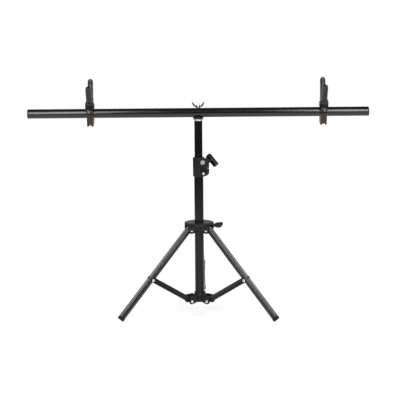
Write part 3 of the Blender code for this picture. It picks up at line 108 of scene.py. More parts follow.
paint_links.new(camera_or_gloss.outputs[0], seen_directly.inputs[0])
paint_links.new(rays.outputs["Is Transmission Ray"], seen_directly.inputs[1])
paint_links.new(seen_directly.outputs[0], glow.inputs["Strength"])
paint_links.new(matt.outputs[0], both.inputs[0])
paint_links.new(glow.outputs[0], both.inputs[1])
paint_links.new(both.outputs[0], paint_nodes["Material Output"].inputs["Surface"])
floor.data.materials.append(floor_paint)

WHITE = (1, 1, 1, 1)
SOFT_FILL = 0.22
DARK_ROOM = 0.07
WALL_SPREAD = (0.8, 1.0)
room = bpy.data.worlds.new("studio_room")
bpy.context.scene.world = room
room.use_nodes = True
room_nodes = room.node_tree.nodes
room_links = room.node_tree.links
soft_fill = room_nodes["Background"]
soft_fill.inputs["Color"].default_value = WHITE
soft_fill.inputs["Strength"].default_value = SOFT_FILL
white_wall = room_nodes.new("ShaderNodeBackground")
white_wall.inputs["Color"].default_value = WHITE
# Reflected and refracted rays see the white wall behind and a dark room before it.
heading = room_nodes.new("ShaderNodeTexCoord")
split_heading = room_nodes.new("ShaderNodeSeparateXYZ")
wall_behind = room_nodes.new("ShaderNodeMapRange")
wall_behind.interpolation_type = "SMOOTHSTEP"
wall_behind.inputs["From Min"].default_value = WALL_SPREAD[0]
wall_behind.inputs["From Max"].default_value = WALL_SPREAD[1]
wall_behind.inputs["To Min"].default_value = DARK_ROOM
wall_behind.inputs["To Max"].default_value = 1.0
wall_glow = room_nodes.new("ShaderNodeMath")
wall_glow.operation = "MAXIMUM"
room_rays = room_nodes.new("ShaderNodeLightPath")
camera_or_gloss = room_nodes.new("ShaderNodeMath")
camera_or_gloss.operation = "MAXIMUM"
wall_seen = room_nodes.new("ShaderNodeMath")
wall_seen.operation = "MAXIMUM"
room_mix = room_nodes.new("ShaderNodeMixShader")
room_links.new(heading.outputs["Generated"], split_heading.inputs["Vector"])
room_links.new(split_heading.outputs["Y"], wall_behind.inputs["Value"])
room_links.new(wall_behind.outputs["Result"], wall_glow.inputs[0])
room_links.new(room_rays.outputs["Is Camera Ray"], wall_glow.inputs[1])
room_links.new(wall_glow.outputs[0], white_wall.inputs["Strength"])
room_links.new(room_rays.outputs["Is Camera Ray"], camera_or_gloss.inputs[0])
room_links.new(room_rays.outputs["Is Glossy Ray"], camera_or_gloss.inputs[1])
room_links.new(camera_or_gloss.outputs[0], wall_seen.inputs[0])
room_links.new(room_rays.outputs["Is Transmission Ray"], wall_seen.inputs[1])
room_links.new(wall_seen.outputs[0], room_mix.inputs[0])
room_links.new(soft_fill.outputs[0], room_mix.inputs[1])
room_links.new(white_wall.outputs[0], room_mix.inputs[2])
room_links.new(room_mix.outputs[0], room_nodes["World Output"].inputs["Surface"])

for lamp_name, lamp_place, aim, width, height, power in (
    ("front_left", (-0.50, -1.5, 1.28), (-0.1, -0.05, 0.5), 0.34, 1.5, 12),
    ("front_right", (0.56, -1.5, 1.28), (0.1, -0.05, 0.5), 0.34, 1.5, 12),
    ("side_left", (-1.4, -0.05, 1.48), (-0.1, -0.1, 0.1), 1.3, 0.6, 17),
    ("side_right", (1.37, -0.03, 1.51), (0.1, -0.1, 0.1), 1.3, 0.6, 17),
):
    bpy.ops.object.light_add(type="AREA", location=lamp_place)
    lamp = bpy.context.object
    lamp.name = lamp_name
    lamp.data.shape = "RECTANGLE"
    lamp.data.size = width
    lamp.data.size_y = height
    lamp.data.energy = power
    lamp.rotation_euler = (Vector(aim) - lamp.location).to_track_quat("-Z", "Y").to_euler()

CAMERA_PLACE = (0.0025, -3.0428, 0.776)
CAMERA_DIP = math.radians(9.6)
CAMERA_ROLL = math.radians(-0.5)
SENSOR_WIDTH = 36
FOCAL_LENGTH = 115.1
NEAR_CLIP = 0.01
bpy.ops.object.camera_add(location=CAMERA_PLACE)
camera = bpy.context.object
camera.name = "photo_camera"
tilt = Matrix.Rotation(math.radians(90) - CAMERA_DIP, 4, "X")
roll = Matrix.Rotation(CAMERA_ROLL, 4, "Z")
camera.matrix_world = Matrix.Translation(CAMERA_PLACE) @ tilt @ roll
camera.data.sensor_width = SENSOR_WIDTH
camera.data.lens = FOCAL_LENGTH
camera.data.clip_start = NEAR_CLIP
bpy.context.scene.camera = camera
bpy.context.scene.view_settings.view_transform = "Standard"

# The column's lower tube: drawn steel tube of 22 mm, cut to length, with its cut
# edges broken, and coated in gloss black. It carries everything else.

MM = 0.001
BODY_OF = {
    node: body for body, nodes in frame["record"]["behaviour"]["bodies"].items() for node in nodes
}
ROUND_SIDES = 64
SMOOTH_BELOW = math.radians(40)
MERGE_WITHIN = 0.001 * MM
COLUMN_RADIUS = 11 * MM
TUBE_WALL = 1.2 * MM
CUT_EDGE = 0.3 * MM


def middle_of(node):
    """The middle of a solid's box."""
    low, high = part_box(node)
    return (low + high) / 2


def turned(name, rings, sides=ROUND_SIDES, hollow=False):
    """A piece turned about Z: a ring is drawn out from each (radius, height) to the next."""
    bpy.ops.object.select_all(action="DESELECT")
    radius, height = rings[0]
    bpy.ops.mesh.primitive_circle_add(
        vertices=sides,
        radius=radius,
        fill_type="NOTHING" if hollow else "NGON",
        location=(0, 0, height),
    )
    piece = bpy.context.object
    piece.name = name
    bpy.ops.object.mode_set(mode="EDIT")
    for wider, higher in rings[1:]:
        bpy.ops.mesh.extrude_region_move(TRANSFORM_OT_translate={"value": (0, 0, higher - height)})
        grow = wider / radius
        bpy.ops.transform.resize(value=(grow, grow, 1), center_override=(0, 0, higher))
        radius, height = wider, higher
    bpy.ops.mesh.select_all(action="SELECT")
    bpy.ops.mesh.remove_doubles(threshold=MERGE_WITHIN)
    bpy.ops.mesh.normals_make_consistent(inside=False)
    bpy.ops.object.mode_set(mode="OBJECT")
    bpy.ops.object.transform_apply(location=True, rotation=True, scale=True)
    bpy.ops.object.shade_smooth_by_angle(angle=SMOOTH_BELOW)
    return piece


def tube_rings(radius, low, high):
    """Closed outline of a tube's wall, with its cut edges broken."""
    bore = radius - TUBE_WALL
    lip = CUT_EDGE / 2
    return [
        (radius - CUT_EDGE, low),
        (radius, low + CUT_EDGE),
        (radius, high - CUT_EDGE),
        (radius - CUT_EDGE, high),
        (bore + lip, high),
        (bore, high - lip),
        (bore, low + lip),
        (bore + lip, low),
        (radius - CUT_EDGE, low),
    ]


def put(piece, place):
    """Move a finished piece to its place, which then lies in its mesh."""
    bpy.ops.object.select_all(action="DESELECT")
    piece.select_set(True)
    bpy.context.view_layer.objects.active = piece
    piece.matrix_world = place
    bpy.ops.object.transform_apply(location=True, rotation=True, scale=True)
    return piece


def stands_for(piece, node, finish):
    """Give a piece its finish, and let it ride where its solid rides, in the solid's stead."""
    piece.data.materials.clear()
    piece.data.materials.append(finish)
    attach(piece, BODY_OF[node])
    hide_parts(node)


BLOTCH_DETAIL = 5
BLOTCH_ROUGHNESS = 0.6
BLOTCH_RANGE = (0.35, 0.68)
GLOSS_DETAIL = 6
GLOSS_RANGE = (0.3, 0.7)
GLOSS_TO_BLOTCH = 1.7
RUB_RANGE = (0.515, 0.62)
GRAIN_DETAIL = 3
GRAIN_DEPTH = 0.1 * MM


def surface(
    name,
    colours,
    roughness,
    blotch,
    grain,
    bump,
    metallic=0.0,
    shine=0.3,
    stretch=(1, 1, 1),
    edge=None,
):
    """A finish with uneven colour and gloss, a fine grain, and paler rubbed edges if asked."""
    finish = bpy.data.materials.new(name)
    finish.use_nodes = True
    nodes = finish.node_tree.nodes
    links = finish.node_tree.links
    shader = nodes["Principled BSDF"]
    shader.inputs["Metallic"].default_value = metallic
    shader.inputs["Specular IOR Level"].default_value = shine
    where = nodes.new("ShaderNodeTexCoord")
    spread = nodes.new("ShaderNodeMapping")
    spread.inputs["Scale"].default_value = stretch
    links.new(where.outputs["Object"], spread.inputs["Vector"])
    cloud = nodes.new("ShaderNodeTexNoise")
    cloud.inputs["Scale"].default_value = blotch
    cloud.inputs["Detail"].default_value = BLOTCH_DETAIL
    cloud.inputs["Roughness"].default_value = BLOTCH_ROUGHNESS
    links.new(spread.outputs["Vector"], cloud.inputs["Vector"])
    tint = nodes.new("ShaderNodeValToRGB")
    tint.color_ramp.elements[0].position = BLOTCH_RANGE[0]
    tint.color_ramp.elements[0].color = (*colours[0], 1)
    tint.color_ramp.elements[1].position = BLOTCH_RANGE[1]
    tint.color_ramp.elements[1].color = (*colours[1], 1)
    links.new(cloud.outputs["Fac"], tint.inputs["Fac"])
    colour = tint.outputs["Color"]
    gloss = nodes.new("ShaderNodeTexNoise")
    gloss.inputs["Scale"].default_value = blotch * GLOSS_TO_BLOTCH
    gloss.inputs["Detail"].default_value = GLOSS_DETAIL
    links.new(spread.outputs["Vector"], gloss.inputs["Vector"])
    rough = nodes.new("ShaderNodeMapRange")
    rough.inputs["From Min"].default_value = GLOSS_RANGE[0]
    rough.inputs["From Max"].default_value = GLOSS_RANGE[1]
    rough.inputs["To Min"].default_value = roughness[0]
    rough.inputs["To Max"].default_value = roughness[1]
    links.new(gloss.outputs["Fac"], rough.inputs["Value"])
    if edge:
        bare = nodes.new("ShaderNodeNewGeometry")
        rub = nodes.new("ShaderNodeMapRange")
        rub.inputs["From Min"].default_value = RUB_RANGE[0]
        rub.inputs["From Max"].default_value = RUB_RANGE[1]
        links.new(bare.outputs["Pointiness"], rub.inputs["Value"])
        patchy = nodes.new("ShaderNodeMath")
        patchy.operation = "MULTIPLY"
        links.new(rub.outputs["Result"], patchy.inputs[0])
        links.new(gloss.outputs["Fac"], patchy.inputs[1])
        worn = nodes.new("ShaderNodeMixRGB")
        worn.inputs["Color2"].default_value = (*edge, 1)
        links.new(patchy.outputs[0], worn.inputs["Fac"])
        links.new(colour, worn.inputs["Color1"])
        colour = worn.outputs["Color"]
    links.new(colour, shader.inputs["Base Color"])
    links.new(rough.outputs["Result"], shader.inputs["Roughness"])
    fine = nodes.new("ShaderNodeTexNoise")
    fine.inputs["Scale"].default_value = grain
    fine.inputs["Detail"].default_value = GRAIN_DETAIL
    links.new(spread.outputs["Vector"], fine.inputs["Vector"])
    relief = nodes.new("ShaderNodeBump")
    relief.inputs["Strength"].default_value = bump
    relief.inputs["Distance"].default_value = GRAIN_DEPTH
    links.new(fine.outputs["Fac"], relief.inputs["Height"])
    links.new(relief.outputs["Normal"], shader.inputs["Normal"])
    return finish


gloss_black = surface(
    "gloss_black_coat",
    colours=((0.005, 0.005, 0.006), (0.009, 0.009, 0.011)),
    roughness=(0.17, 0.21),
    blotch=24,
    grain=900,
    bump=0.02,
)
column_foot = middle_of("lower_tube")
column_foot.z = 0
low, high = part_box("lower_tube")
lower_tube = turned("column_lower_tube", tube_rings(COLUMN_RADIUS, low.z, high.z), hollow=True)
put(lower_tube, Matrix.Translation(column_foot))
stands_for(lower_tube, "lower_tube", gloss_black)

# The plug closes the tube's lower end: moulded nylon, pushed in, with a flange that
# stops against the cut edge. Its solid has the right shape and only takes the finish.

nylon = surface(
    "satin_nylon",
    colours=((0.006, 0.006, 0.0065), (0.011, 0.011, 0.012)),
    roughness=(0.38, 0.50),
    blotch=55,
    grain=2600,
    bump=0.25,
    edge=(0.035, 0.035, 0.038),
)


def keep_solid(node, finish):
    """Let a solid show as it is, and give it its finish."""
    solid = frame["nodes"][node]
    if not solid.material_slots:
        solid.data.materials.append(finish)
    for slot in solid.material_slots:
        slot.material = finish


keep_solid("lower_tube_plug", nylon)

# The lower hub holds the three struts between its ears: one nylon moulding, clamped on
# the tube, with the small radii that a mould leaves on each edge.

SOLID_MERGE_WITHIN = 0.002 * MM
FLAT_WITHIN = math.radians(1)
ROUND_ABOVE = math.radians(40)


def cut(piece, cutter):
    """Take the cutter's shape out of a piece, and the cutter away."""
    bpy.ops.object.select_all(action="DESELECT")
    piece.select_set(True)
    bpy.context.view_layer.objects.active = piece
    notch = piece.modifiers.new("cut", "BOOLEAN")
    notch.operation = "DIFFERENCE"
    notch.solver = "EXACT"
    notch.object = cutter
    bpy.ops.object.modifier_apply(modifier="cut")
    bpy.data.objects.remove(cutter, do_unlink=True)


def moulded(name, node, rounding, segments=2, end_cutter=None):
    """A merged copy of a solid, with the radii of a moulding or casting on its edges."""
    bpy.ops.object.select_all(action="DESELECT")
    piece = bpy.data.objects.new(name, frame["nodes"][node].data.copy())
    bpy.context.scene.collection.objects.link(piece)
    piece.select_set(True)
    bpy.context.view_layer.objects.active = piece
    bpy.ops.object.mode_set(mode="EDIT")
    bpy.ops.mesh.select_all(action="SELECT")
    bpy.ops.mesh.remove_doubles(threshold=SOLID_MERGE_WITHIN)
    bpy.ops.mesh.dissolve_limited(angle_limit=FLAT_WITHIN)
    bpy.ops.mesh.normals_make_consistent(inside=False)
    bpy.ops.object.mode_set(mode="OBJECT")
    if piece.data.has_custom_normals:
        bpy.ops.mesh.customdata_custom_splitnormals_clear()
    if end_cutter:
        cut(piece, end_cutter)
    radius = piece.modifiers.new("mould_radius", "BEVEL")
    radius.width = rounding
    radius.segments = segments
    radius.limit_method = "ANGLE"
    radius.angle_limit = ROUND_ABOVE
    bpy.ops.object.modifier_apply(modifier="mould_radius")
    bpy.ops.object.shade_smooth_by_angle(angle=SMOOTH_BELOW)
    return piece


stands_for(moulded("tripod_lower_hub", "lower_hub", rounding=0.5 * MM), "lower_hub", nylon)

# Rivets: plated steel with domed heads on both ends, set through the ears. They are the
# struts' pivots here and the legs' pivots in the canopy.

HEAD_RADIUS = 3.5 * MM
HEAD_HEIGHT = 1.8 * MM
SHANK_RADIUS = 2.0 * MM
RIVET_SIDES = 32
CROWN_TURN = math.radians(86)
HUB_HALF_GRIP = 13.8 * MM
HINGE_AXES = {
    joint["child"]: Vector(joint["axis"]) for joint in frame["joints"] if joint["type"] == "hinge"
}
plated_steel = surface(
    "plated_steel",
    colours=((0.74, 0.74, 0.76), (0.88, 0.88, 0.90)),
    roughness=(0.30, 0.45),
    blotch=260,
    grain=3800,
    bump=0.25,
    metallic=1.0,
    edge=(0.86, 0.86, 0.87),
)


def dome(radius, height, base, way, steps=6):
    """Rings of a domed head, from its rim at base to its crown."""
    turns = [CROWN_TURN * step / steps for step in range(steps + 1)]
    return [(radius * math.cos(turn), base + way * height * math.sin(turn)) for turn in turns]


def rivet(name, half_length, head_radius=HEAD_RADIUS, head_height=HEAD_HEIGHT, shank=SHANK_RADIUS):
    """A rivet about Z with a domed head past each end of its grip."""
    lower_head = dome(head_radius, head_height, -half_length, -1)
    upper_head = dome(head_radius, head_height, half_length, 1)
    rings = lower_head[::-1] + [(shank, -half_length), (shank, half_length)] + upper_head
    return turned(name, rings, sides=RIVET_SIDES)


def along(direction, place):
    """The place and turn that lay a piece's Z along a direction."""
    return Matrix.Translation(place) @ direction.to_track_quat("Z", "Y").to_matrix().to_4x4()


for side in ("left", "right", "rear"):
    pin = rivet(f"hub_rivet_{side}", HUB_HALF_GRIP)
    node = f"lower_hub_rivet_{side}"
    put(pin, along(HINGE_AXES[f"spreader_{side}"], middle_of(node)))
    stands_for(pin, node, plated_steel)

# The canopy slides on the lower tube and holds the three legs: a nylon cap with a flat
# top, a short skirt and a pair of ears for each leg, riveted through.

CANOPY_HALF_GRIP = 12.7 * MM
stands_for(moulded("tripod_canopy", "canopy", rounding=0.55 * MM), "canopy", nylon)
for side in ("left", "right", "rear"):
    pin = rivet(f"canopy_pin_{side}", CANOPY_HALF_GRIP)
    node = f"canopy_rivet_{side}"
    put(pin, along(HINGE_AXES[f"leg_{side}"], middle_of(node)))
    stands_for(pin, node, plated_steel)

# The canopy's thumb knob: a flat nylon paddle moulded over a steel screw, whose tip
# presses on the tube and fixes the canopy's height.

knob_plastic = surface(
    "knob_plastic",
    colours=((0.005, 0.005, 0.0055), (0.009, 0.009, 0.010)),
    roughness=(0.28, 0.38),
    blotch=90,
    grain=2200,
    bump=0.2,
    shine=0.4,
    edge=(0.04, 0.04, 0.043),
)
paddle = moulded("canopy_thumb_paddle", "canopy_knob", rounding=0.9 * MM, segments=3)
stands_for(paddle, "canopy_knob", knob_plastic)
keep_solid("canopy_knob_screw", plated_steel)

# The legs: drawn steel tube of 16 mm in a glossier black than the column, held by the
# canopy's rivets. Each has one blind rivet on its outer face, where the strut joins it.

LEG_RADIUS = 8 * MM
LEG_SPREAD = math.radians(42.8)
LEG_OFFSET = 2.5 * MM
LEG_TOP = 5 * MM
LEG_END = -260.7 * MM
LEG_HEADINGS = {"left": -62, "right": 58, "rear": 178}
STRUT_JOINT = -149 * MM
CLIP_SHANK_RADIUS = 1.6 * MM
CLIP_SHANK_START = 5.6 * MM
CLIP_HEAD_SEAT = 8.3 * MM
CLIP_HEAD_RADIUS = 3.3 * MM
CLIP_HEAD_HEIGHT = 2 * MM
leg_black = surface(
    "leg_gloss_black",
    colours=((0.004, 0.004, 0.005), (0.009, 0.009, 0.011)),
    roughness=(0.13, 0.17),
    blotch=30,
    grain=900,
    bump=0.02,
    shine=0.6,
)
PIVOTS = {
    joint["child"]: Vector(joint["pos_m"]) for joint in frame["joints"] if "pos_m" in joint
}


def leg_place(side):
    """The leg's own frame: Z up along the tube, X outwards, on the hinge."""
    heading = Matrix.Rotation(math.radians(LEG_HEADINGS[side] - 90), 4, "Z")
    spread = Matrix.Rotation(-LEG_SPREAD, 4, "Y")
    return Matrix.Translation(PIVOTS[f"leg_{side}"]) @ heading @ spread


for side in LEG_HEADINGS:
    tube = turned(f"tripod_leg_{side}", tube_rings(LEG_RADIUS, LEG_END, LEG_TOP), hollow=True)
    put(tube, leg_place(side) @ Matrix.Translation((LEG_OFFSET, 0, 0)))
    stands_for(tube, f"leg_tube_{side}", leg_black)
    stub_rings = [(CLIP_SHANK_RADIUS, CLIP_SHANK_START), (CLIP_SHANK_RADIUS, CLIP_HEAD_SEAT)]
    stub_rings += dome(CLIP_HEAD_RADIUS, CLIP_HEAD_HEIGHT, CLIP_HEAD_SEAT, 1)
    stub = turned(f"clip_rivet_{side}", stub_rings, sides=RIVET_SIDES)
    put(
        stub,
        leg_place(side)
        @ Matrix.Translation((LEG_OFFSET, 0, STRUT_JOINT))
        @ Matrix.Rotation(math.radians(90), 4, "Y"),
    )
    stands_for(stub, f"leg_rivet_{side}", leg_black)

# The feet: rubber tips pushed into the legs, with two grip grooves round each and a
# sole ground flat where it stands.

FOOT_RADIUS = 8.4 * MM
FOOT_END = -268 * MM
FOOT_TOP = -261 * MM
FOOT_GROOVE_RADIUS = 7.9 * MM
FOOT_PLUG_RADIUS = 6.5 * MM
foot_rubber = surface(
    "foot_rubber",
    colours=((0.010, 0.010, 0.010), (0.020, 0.0195, 0.019)),
    roughness=(0.68, 0.88),
    blotch=120,
    grain=3200,
    bump=0.5,
    edge=(0.06, 0.059, 0.057),
)
for side in LEG_HEADINGS:
    rings = [
        (6.9 * MM, FOOT_END),
        (FOOT_GROOVE_RADIUS, FOOT_END + 0.4 * MM),
        (FOOT_RADIUS, FOOT_END + 1.2 * MM),
        (FOOT_RADIUS, FOOT_END + 2.6 * MM),
        (FOOT_GROOVE_RADIUS, FOOT_END + 2.9 * MM),
        (FOOT_GROOVE_RADIUS, FOOT_END + 3.5 * MM),
        (FOOT_RADIUS, FOOT_END + 3.8 * MM),
        (FOOT_RADIUS, FOOT_END + 4.7 * MM),
        (FOOT_GROOVE_RADIUS, FOOT_END + 5.0 * MM),
        (FOOT_GROOVE_RADIUS, FOOT_END + 5.6 * MM),
        (FOOT_RADIUS, FOOT_END + 5.9 * MM),
        (FOOT_RADIUS, FOOT_TOP - 0.4 * MM),
        (8.0 * MM, FOOT_TOP),
        (FOOT_PLUG_RADIUS, FOOT_TOP),
        (FOOT_PLUG_RADIUS, FOOT_TOP + 13.1 * MM),
        (5.3 * MM, FOOT_TOP + 14.3 * MM),
    ]
    foot = turned(f"rubber_foot_{side}", rings, sides=48)
    put(foot, leg_place(side) @ Matrix.Translation((LEG_OFFSET, 0, 0)))
    bpy.ops.object.mode_set(mode="EDIT")
    bpy.ops.mesh.select_all(action="SELECT")
    bpy.ops.mesh.bisect(plane_co=(0, 0, 0), plane_no=(0, 0, 1), use_fill=True, clear_inner=True)
    bpy.ops.object.mode_set(mode="OBJECT")
    bpy.ops.object.shade_smooth_by_angle(angle=SMOOTH_BELOW)
    stands_for(foot, f"foot_{side}", foot_rubber)

# The struts: channels pressed from 1.2 mm sheet and coated black, each held by the hub's
# rivet at one end, and to its leg by a short rivet through each side wall.

STUD_START = 8.5 * MM
STUD_LENGTH = 1.5 * MM
sheet_black = surface(
    "coated_sheet",
    colours=((0.006, 0.006, 0.007), (0.011, 0.011, 0.013)),
    roughness=(0.22, 0.34),
    blotch=60,
    grain=1300,
    bump=0.08,
    edge=(0.07, 0.07, 0.075),
)
for side in LEG_HEADINGS:
    strut = moulded(f"tripod_strut_{side}", f"strut_{side}", rounding=0.3 * MM)
    stands_for(strut, f"strut_{side}", sheet_black)
    leg_middle = leg_place(side) @ Vector((0, 0, STRUT_JOINT))
    for reach in ("near", "far"):
        node = f"strut_rivet_{reach}_{side}"
        axis = HINGE_AXES[f"spreader_{side}"]
        outwards = axis if (middle_of(node) - leg_middle).dot(axis) > 0 else -axis
        start = leg_middle + outwards * STUD_START
        stud_rings = [(SHANK_RADIUS, 0), (SHANK_RADIUS, STUD_LENGTH)]
        stud_rings += dome(HEAD_RADIUS, HEAD_HEIGHT, STUD_LENGTH, 1)
        stud = turned(f"strut_stud_{reach}_{side}", stud_rings, sides=RIVET_SIDES)
        put(stud, along(outwards, start))
        stands_for(stud, node, plated_steel)

# The lock collar: a split nylon sleeve where the two tubes meet, with a lug that a bolt
# pulls together. One screw below keeps it on the lower tube.

stands_for(moulded("height_lock_collar", "lock_collar", rounding=0.5 * MM), "lock_collar", nylon)
collar_nut = moulded("collar_hex_nut", "collar_nut", rounding=0.35 * MM)
stands_for(collar_nut, "collar_nut", plated_steel)
collar_screw = moulded("collar_fixing_screw", "collar_screw", rounding=0.3 * MM)
stands_for(collar_screw, "collar_screw", plated_steel)

# The lock knob: a nylon T-handle moulded on the end of the steel bolt that closes the
# collar. The bolt's solid has the right shape and only takes the finish.

lock_handle = moulded("height_lock_handle", "lock_knob", rounding=1.1 * MM, segments=3)
stands_for(lock_handle, "lock_knob", knob_plastic)
keep_solid("lock_bolt", plated_steel)

# The upper tube: 19 mm steel tube, which slides in the lower one and shows faint rub
# lines along its length. A nylon glide inside keeps it centred.

UPPER_RADIUS = 9.5 * MM
rubbed_black = surface(
    "rubbed_black_coat",
    colours=((0.004, 0.004, 0.005), (0.010, 0.010, 0.012)),
    roughness=(0.17, 0.23),
    blotch=40,
    grain=900,
    bump=0.02,
    stretch=(6, 6, 0.35),
)
low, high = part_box("upper_tube")
upper_tube = turned("column_upper_tube", tube_rings(UPPER_RADIUS, low.z, high.z), hollow=True)
put(upper_tube, Matrix.Translation(column_foot))
stands_for(upper_tube, "upper_tube", rubbed_black)
keep_solid("tube_glide", nylon)

# The spigot: turned steel, pressed into the upper tube, with a flange that the saddle
# rests on and a threaded stud that holds the crossbar.

turned_steel = surface(
    "turned_satin_steel",
    colours=((0.86, 0.86, 0.87), (0.95, 0.95, 0.96)),
    roughness=(0.46, 0.60),
    blotch=220,
    grain=3200,
    bump=0.2,
    metallic=1.0,
)
low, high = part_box("spigot")
STEM_RADIUS = 8 * MM
STEM_LENGTH = 18.3 * MM
FLANGE_RADIUS = 11 * MM
STUD_RADIUS = 3 * MM
STUD_HEIGHT = 39.8 * MM
THREAD_DEPTH = 0.35 * MM
THREAD_PITCH = 1 * MM
flange_low = low.z + STEM_LENGTH
flange_high = high.z - STUD_HEIGHT
spigot_rings = [
    (7.0 * MM, low.z),
    (STEM_RADIUS, low.z + 1 * MM),
    (STEM_RADIUS, flange_low),
    (FLANGE_RADIUS - 0.4 * MM, flange_low),
    (FLANGE_RADIUS, flange_low + 0.4 * MM),
    (FLANGE_RADIUS, flange_high - 0.8 * MM),
    (FLANGE_RADIUS - 0.8 * MM, flange_high),
    (STUD_RADIUS, flange_high),
    (STUD_RADIUS, flange_high + 14 * MM),
]
crest = flange_high + 14.5 * MM
while crest < high.z - 1.2 * MM:
    spigot_rings += [(STUD_RADIUS - THREAD_DEPTH, crest), (STUD_RADIUS, crest + THREAD_PITCH / 2)]
    crest += THREAD_PITCH
spigot_rings += [(STUD_RADIUS - THREAD_DEPTH, high.z - 0.4 * MM), (STUD_RADIUS - 0.9 * MM, high.z)]
spigot = turned("column_spigot", spigot_rings, sides=48)
put(spigot, Matrix.Translation(column_foot))
stands_for(spigot, "spigot", turned_steel)

# The saddle: a round nylon seat with a trough across it, which the crossbar lies in and
# turns with.

stands_for(moulded("bar_saddle", "saddle", rounding=0.4 * MM), "saddle", nylon)

# The crossbar: one length of 22 mm steel tube in gloss black, drilled through the middle
# for the stud, with a plastic cap pressed into each end.

BAR_RADIUS = 11 * MM
BAR_END = 400 * MM
STUD_HOLE_RADIUS = 3.3 * MM
STUD_HOLE_DEPTH = 40 * MM
bar_black = surface(
    "bar_gloss_black",
    colours=((0.004, 0.004, 0.005), (0.008, 0.008, 0.010)),
    roughness=(0.16, 0.20),
    blotch=24,
    grain=800,
    bump=0.02,
    shine=0.62,
    stretch=(0.4, 1, 1),
)
bar_middle = middle_of("crossbar")
low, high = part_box("crossbar")
half_bar = (high.x - low.x) / 2
crossbar = turned("crossbar_tube", tube_rings(BAR_RADIUS, -half_bar, half_bar), hollow=True)
put(crossbar, Matrix.Translation(bar_middle) @ Matrix.Rotation(math.radians(90), 4, "Y"))
bpy.ops.object.select_all(action="DESELECT")
bpy.ops.mesh.primitive_cylinder_add(
    vertices=32,
    radius=STUD_HOLE_RADIUS,
    depth=STUD_HOLE_DEPTH,
    location=bar_middle,
)
cut(crossbar, bpy.context.object)
bpy.ops.object.shade_smooth_by_angle(angle=SMOOTH_BELOW)
stands_for(crossbar, "crossbar", bar_black)

for side, way in (("left", -1), ("right", 1)):
    rings = [
        (8.6 * MM, BAR_END - 14 * MM),
        (9.5 * MM, BAR_END - 13 * MM),
        (9.5 * MM, BAR_END - 2 * MM),
        (10.7 * MM, BAR_END - 2 * MM),
        (BAR_RADIUS, BAR_END - 1.7 * MM),
        (BAR_RADIUS, BAR_END - 0.8 * MM),
        (10.7 * MM, BAR_END - 0.3 * MM),
        (10.2 * MM, BAR_END),
        (8.4 * MM, BAR_END),
        (8.0 * MM, BAR_END - 0.6 * MM),
        (2.2 * MM, BAR_END - 0.6 * MM),
        (1.8 * MM, BAR_END - 0.3 * MM),
        (0.6 * MM, BAR_END - 0.3 * MM),
    ]
    cap = turned(f"bar_end_cap_{side}", rings)
    put(cap, Matrix.Translation(bar_middle) @ Matrix.Rotation(math.radians(90) * way, 4, "Y"))
    stands_for(cap, f"bar_cap_{side}", nylon)

# The wing nut: zinc, cast with two wings, plated bright, and screwed down on the bar by
# hand to hold it on the stud.

cast_zinc = surface(
    "bright_cast_zinc",
    colours=((0.42, 0.42, 0.43), (0.56, 0.56, 0.57)),
    roughness=(0.12, 0.20),
    blotch=180,
    grain=1500,
    bump=0.2,
    metallic=1.0,
    edge=(0.85, 0.85, 0.86),
)
wings = moulded("bar_wing_nut", "wing_nut", rounding=0.55 * MM, segments=3)
stands_for(wings, "wing_nut", cast_zinc)

# The spring clamps: two nylon jaws each, turning on a steel pin, with swivelling orange
# pads at the tips. A wire spring is coiled round the pin, and its legs cross and stand
# clear of the handles, as they do in the solids.

CLAMP_LEAN = math.radians(10)
SPRING_RADIUS = 3.5 * MM
SPRING_WIDTH = 8 * MM
SPRING_WIRE = 0.75 * MM
SPRING_LEG = 22 * MM
SPRING_TURN = math.radians(1316)
SPRING_STEPS = 120
HANDLE_ANGLE = math.radians(28)
clamp_nylon = surface(
    "clamp_nylon",
    colours=((0.005, 0.005, 0.0055), (0.010, 0.010, 0.011)),
    roughness=(0.20, 0.30),
    blotch=70,
    grain=1900,
    bump=0.15,
    shine=0.5,
    edge=(0.04, 0.04, 0.043),
)
orange_grip = surface(
    "orange_grip",
    colours=((0.92, 0.22, 0.020), (0.98, 0.32, 0.040)),
    roughness=(0.42, 0.60),
    blotch=110,
    grain=1600,
    bump=0.3,
    edge=(0.98, 0.45, 0.16),
)
spring_steel = surface(
    "spring_steel",
    colours=((0.42, 0.42, 0.43), (0.60, 0.60, 0.61)),
    roughness=(0.26, 0.42),
    blotch=300,
    grain=3000,
    bump=0.3,
    metallic=1.0,
)


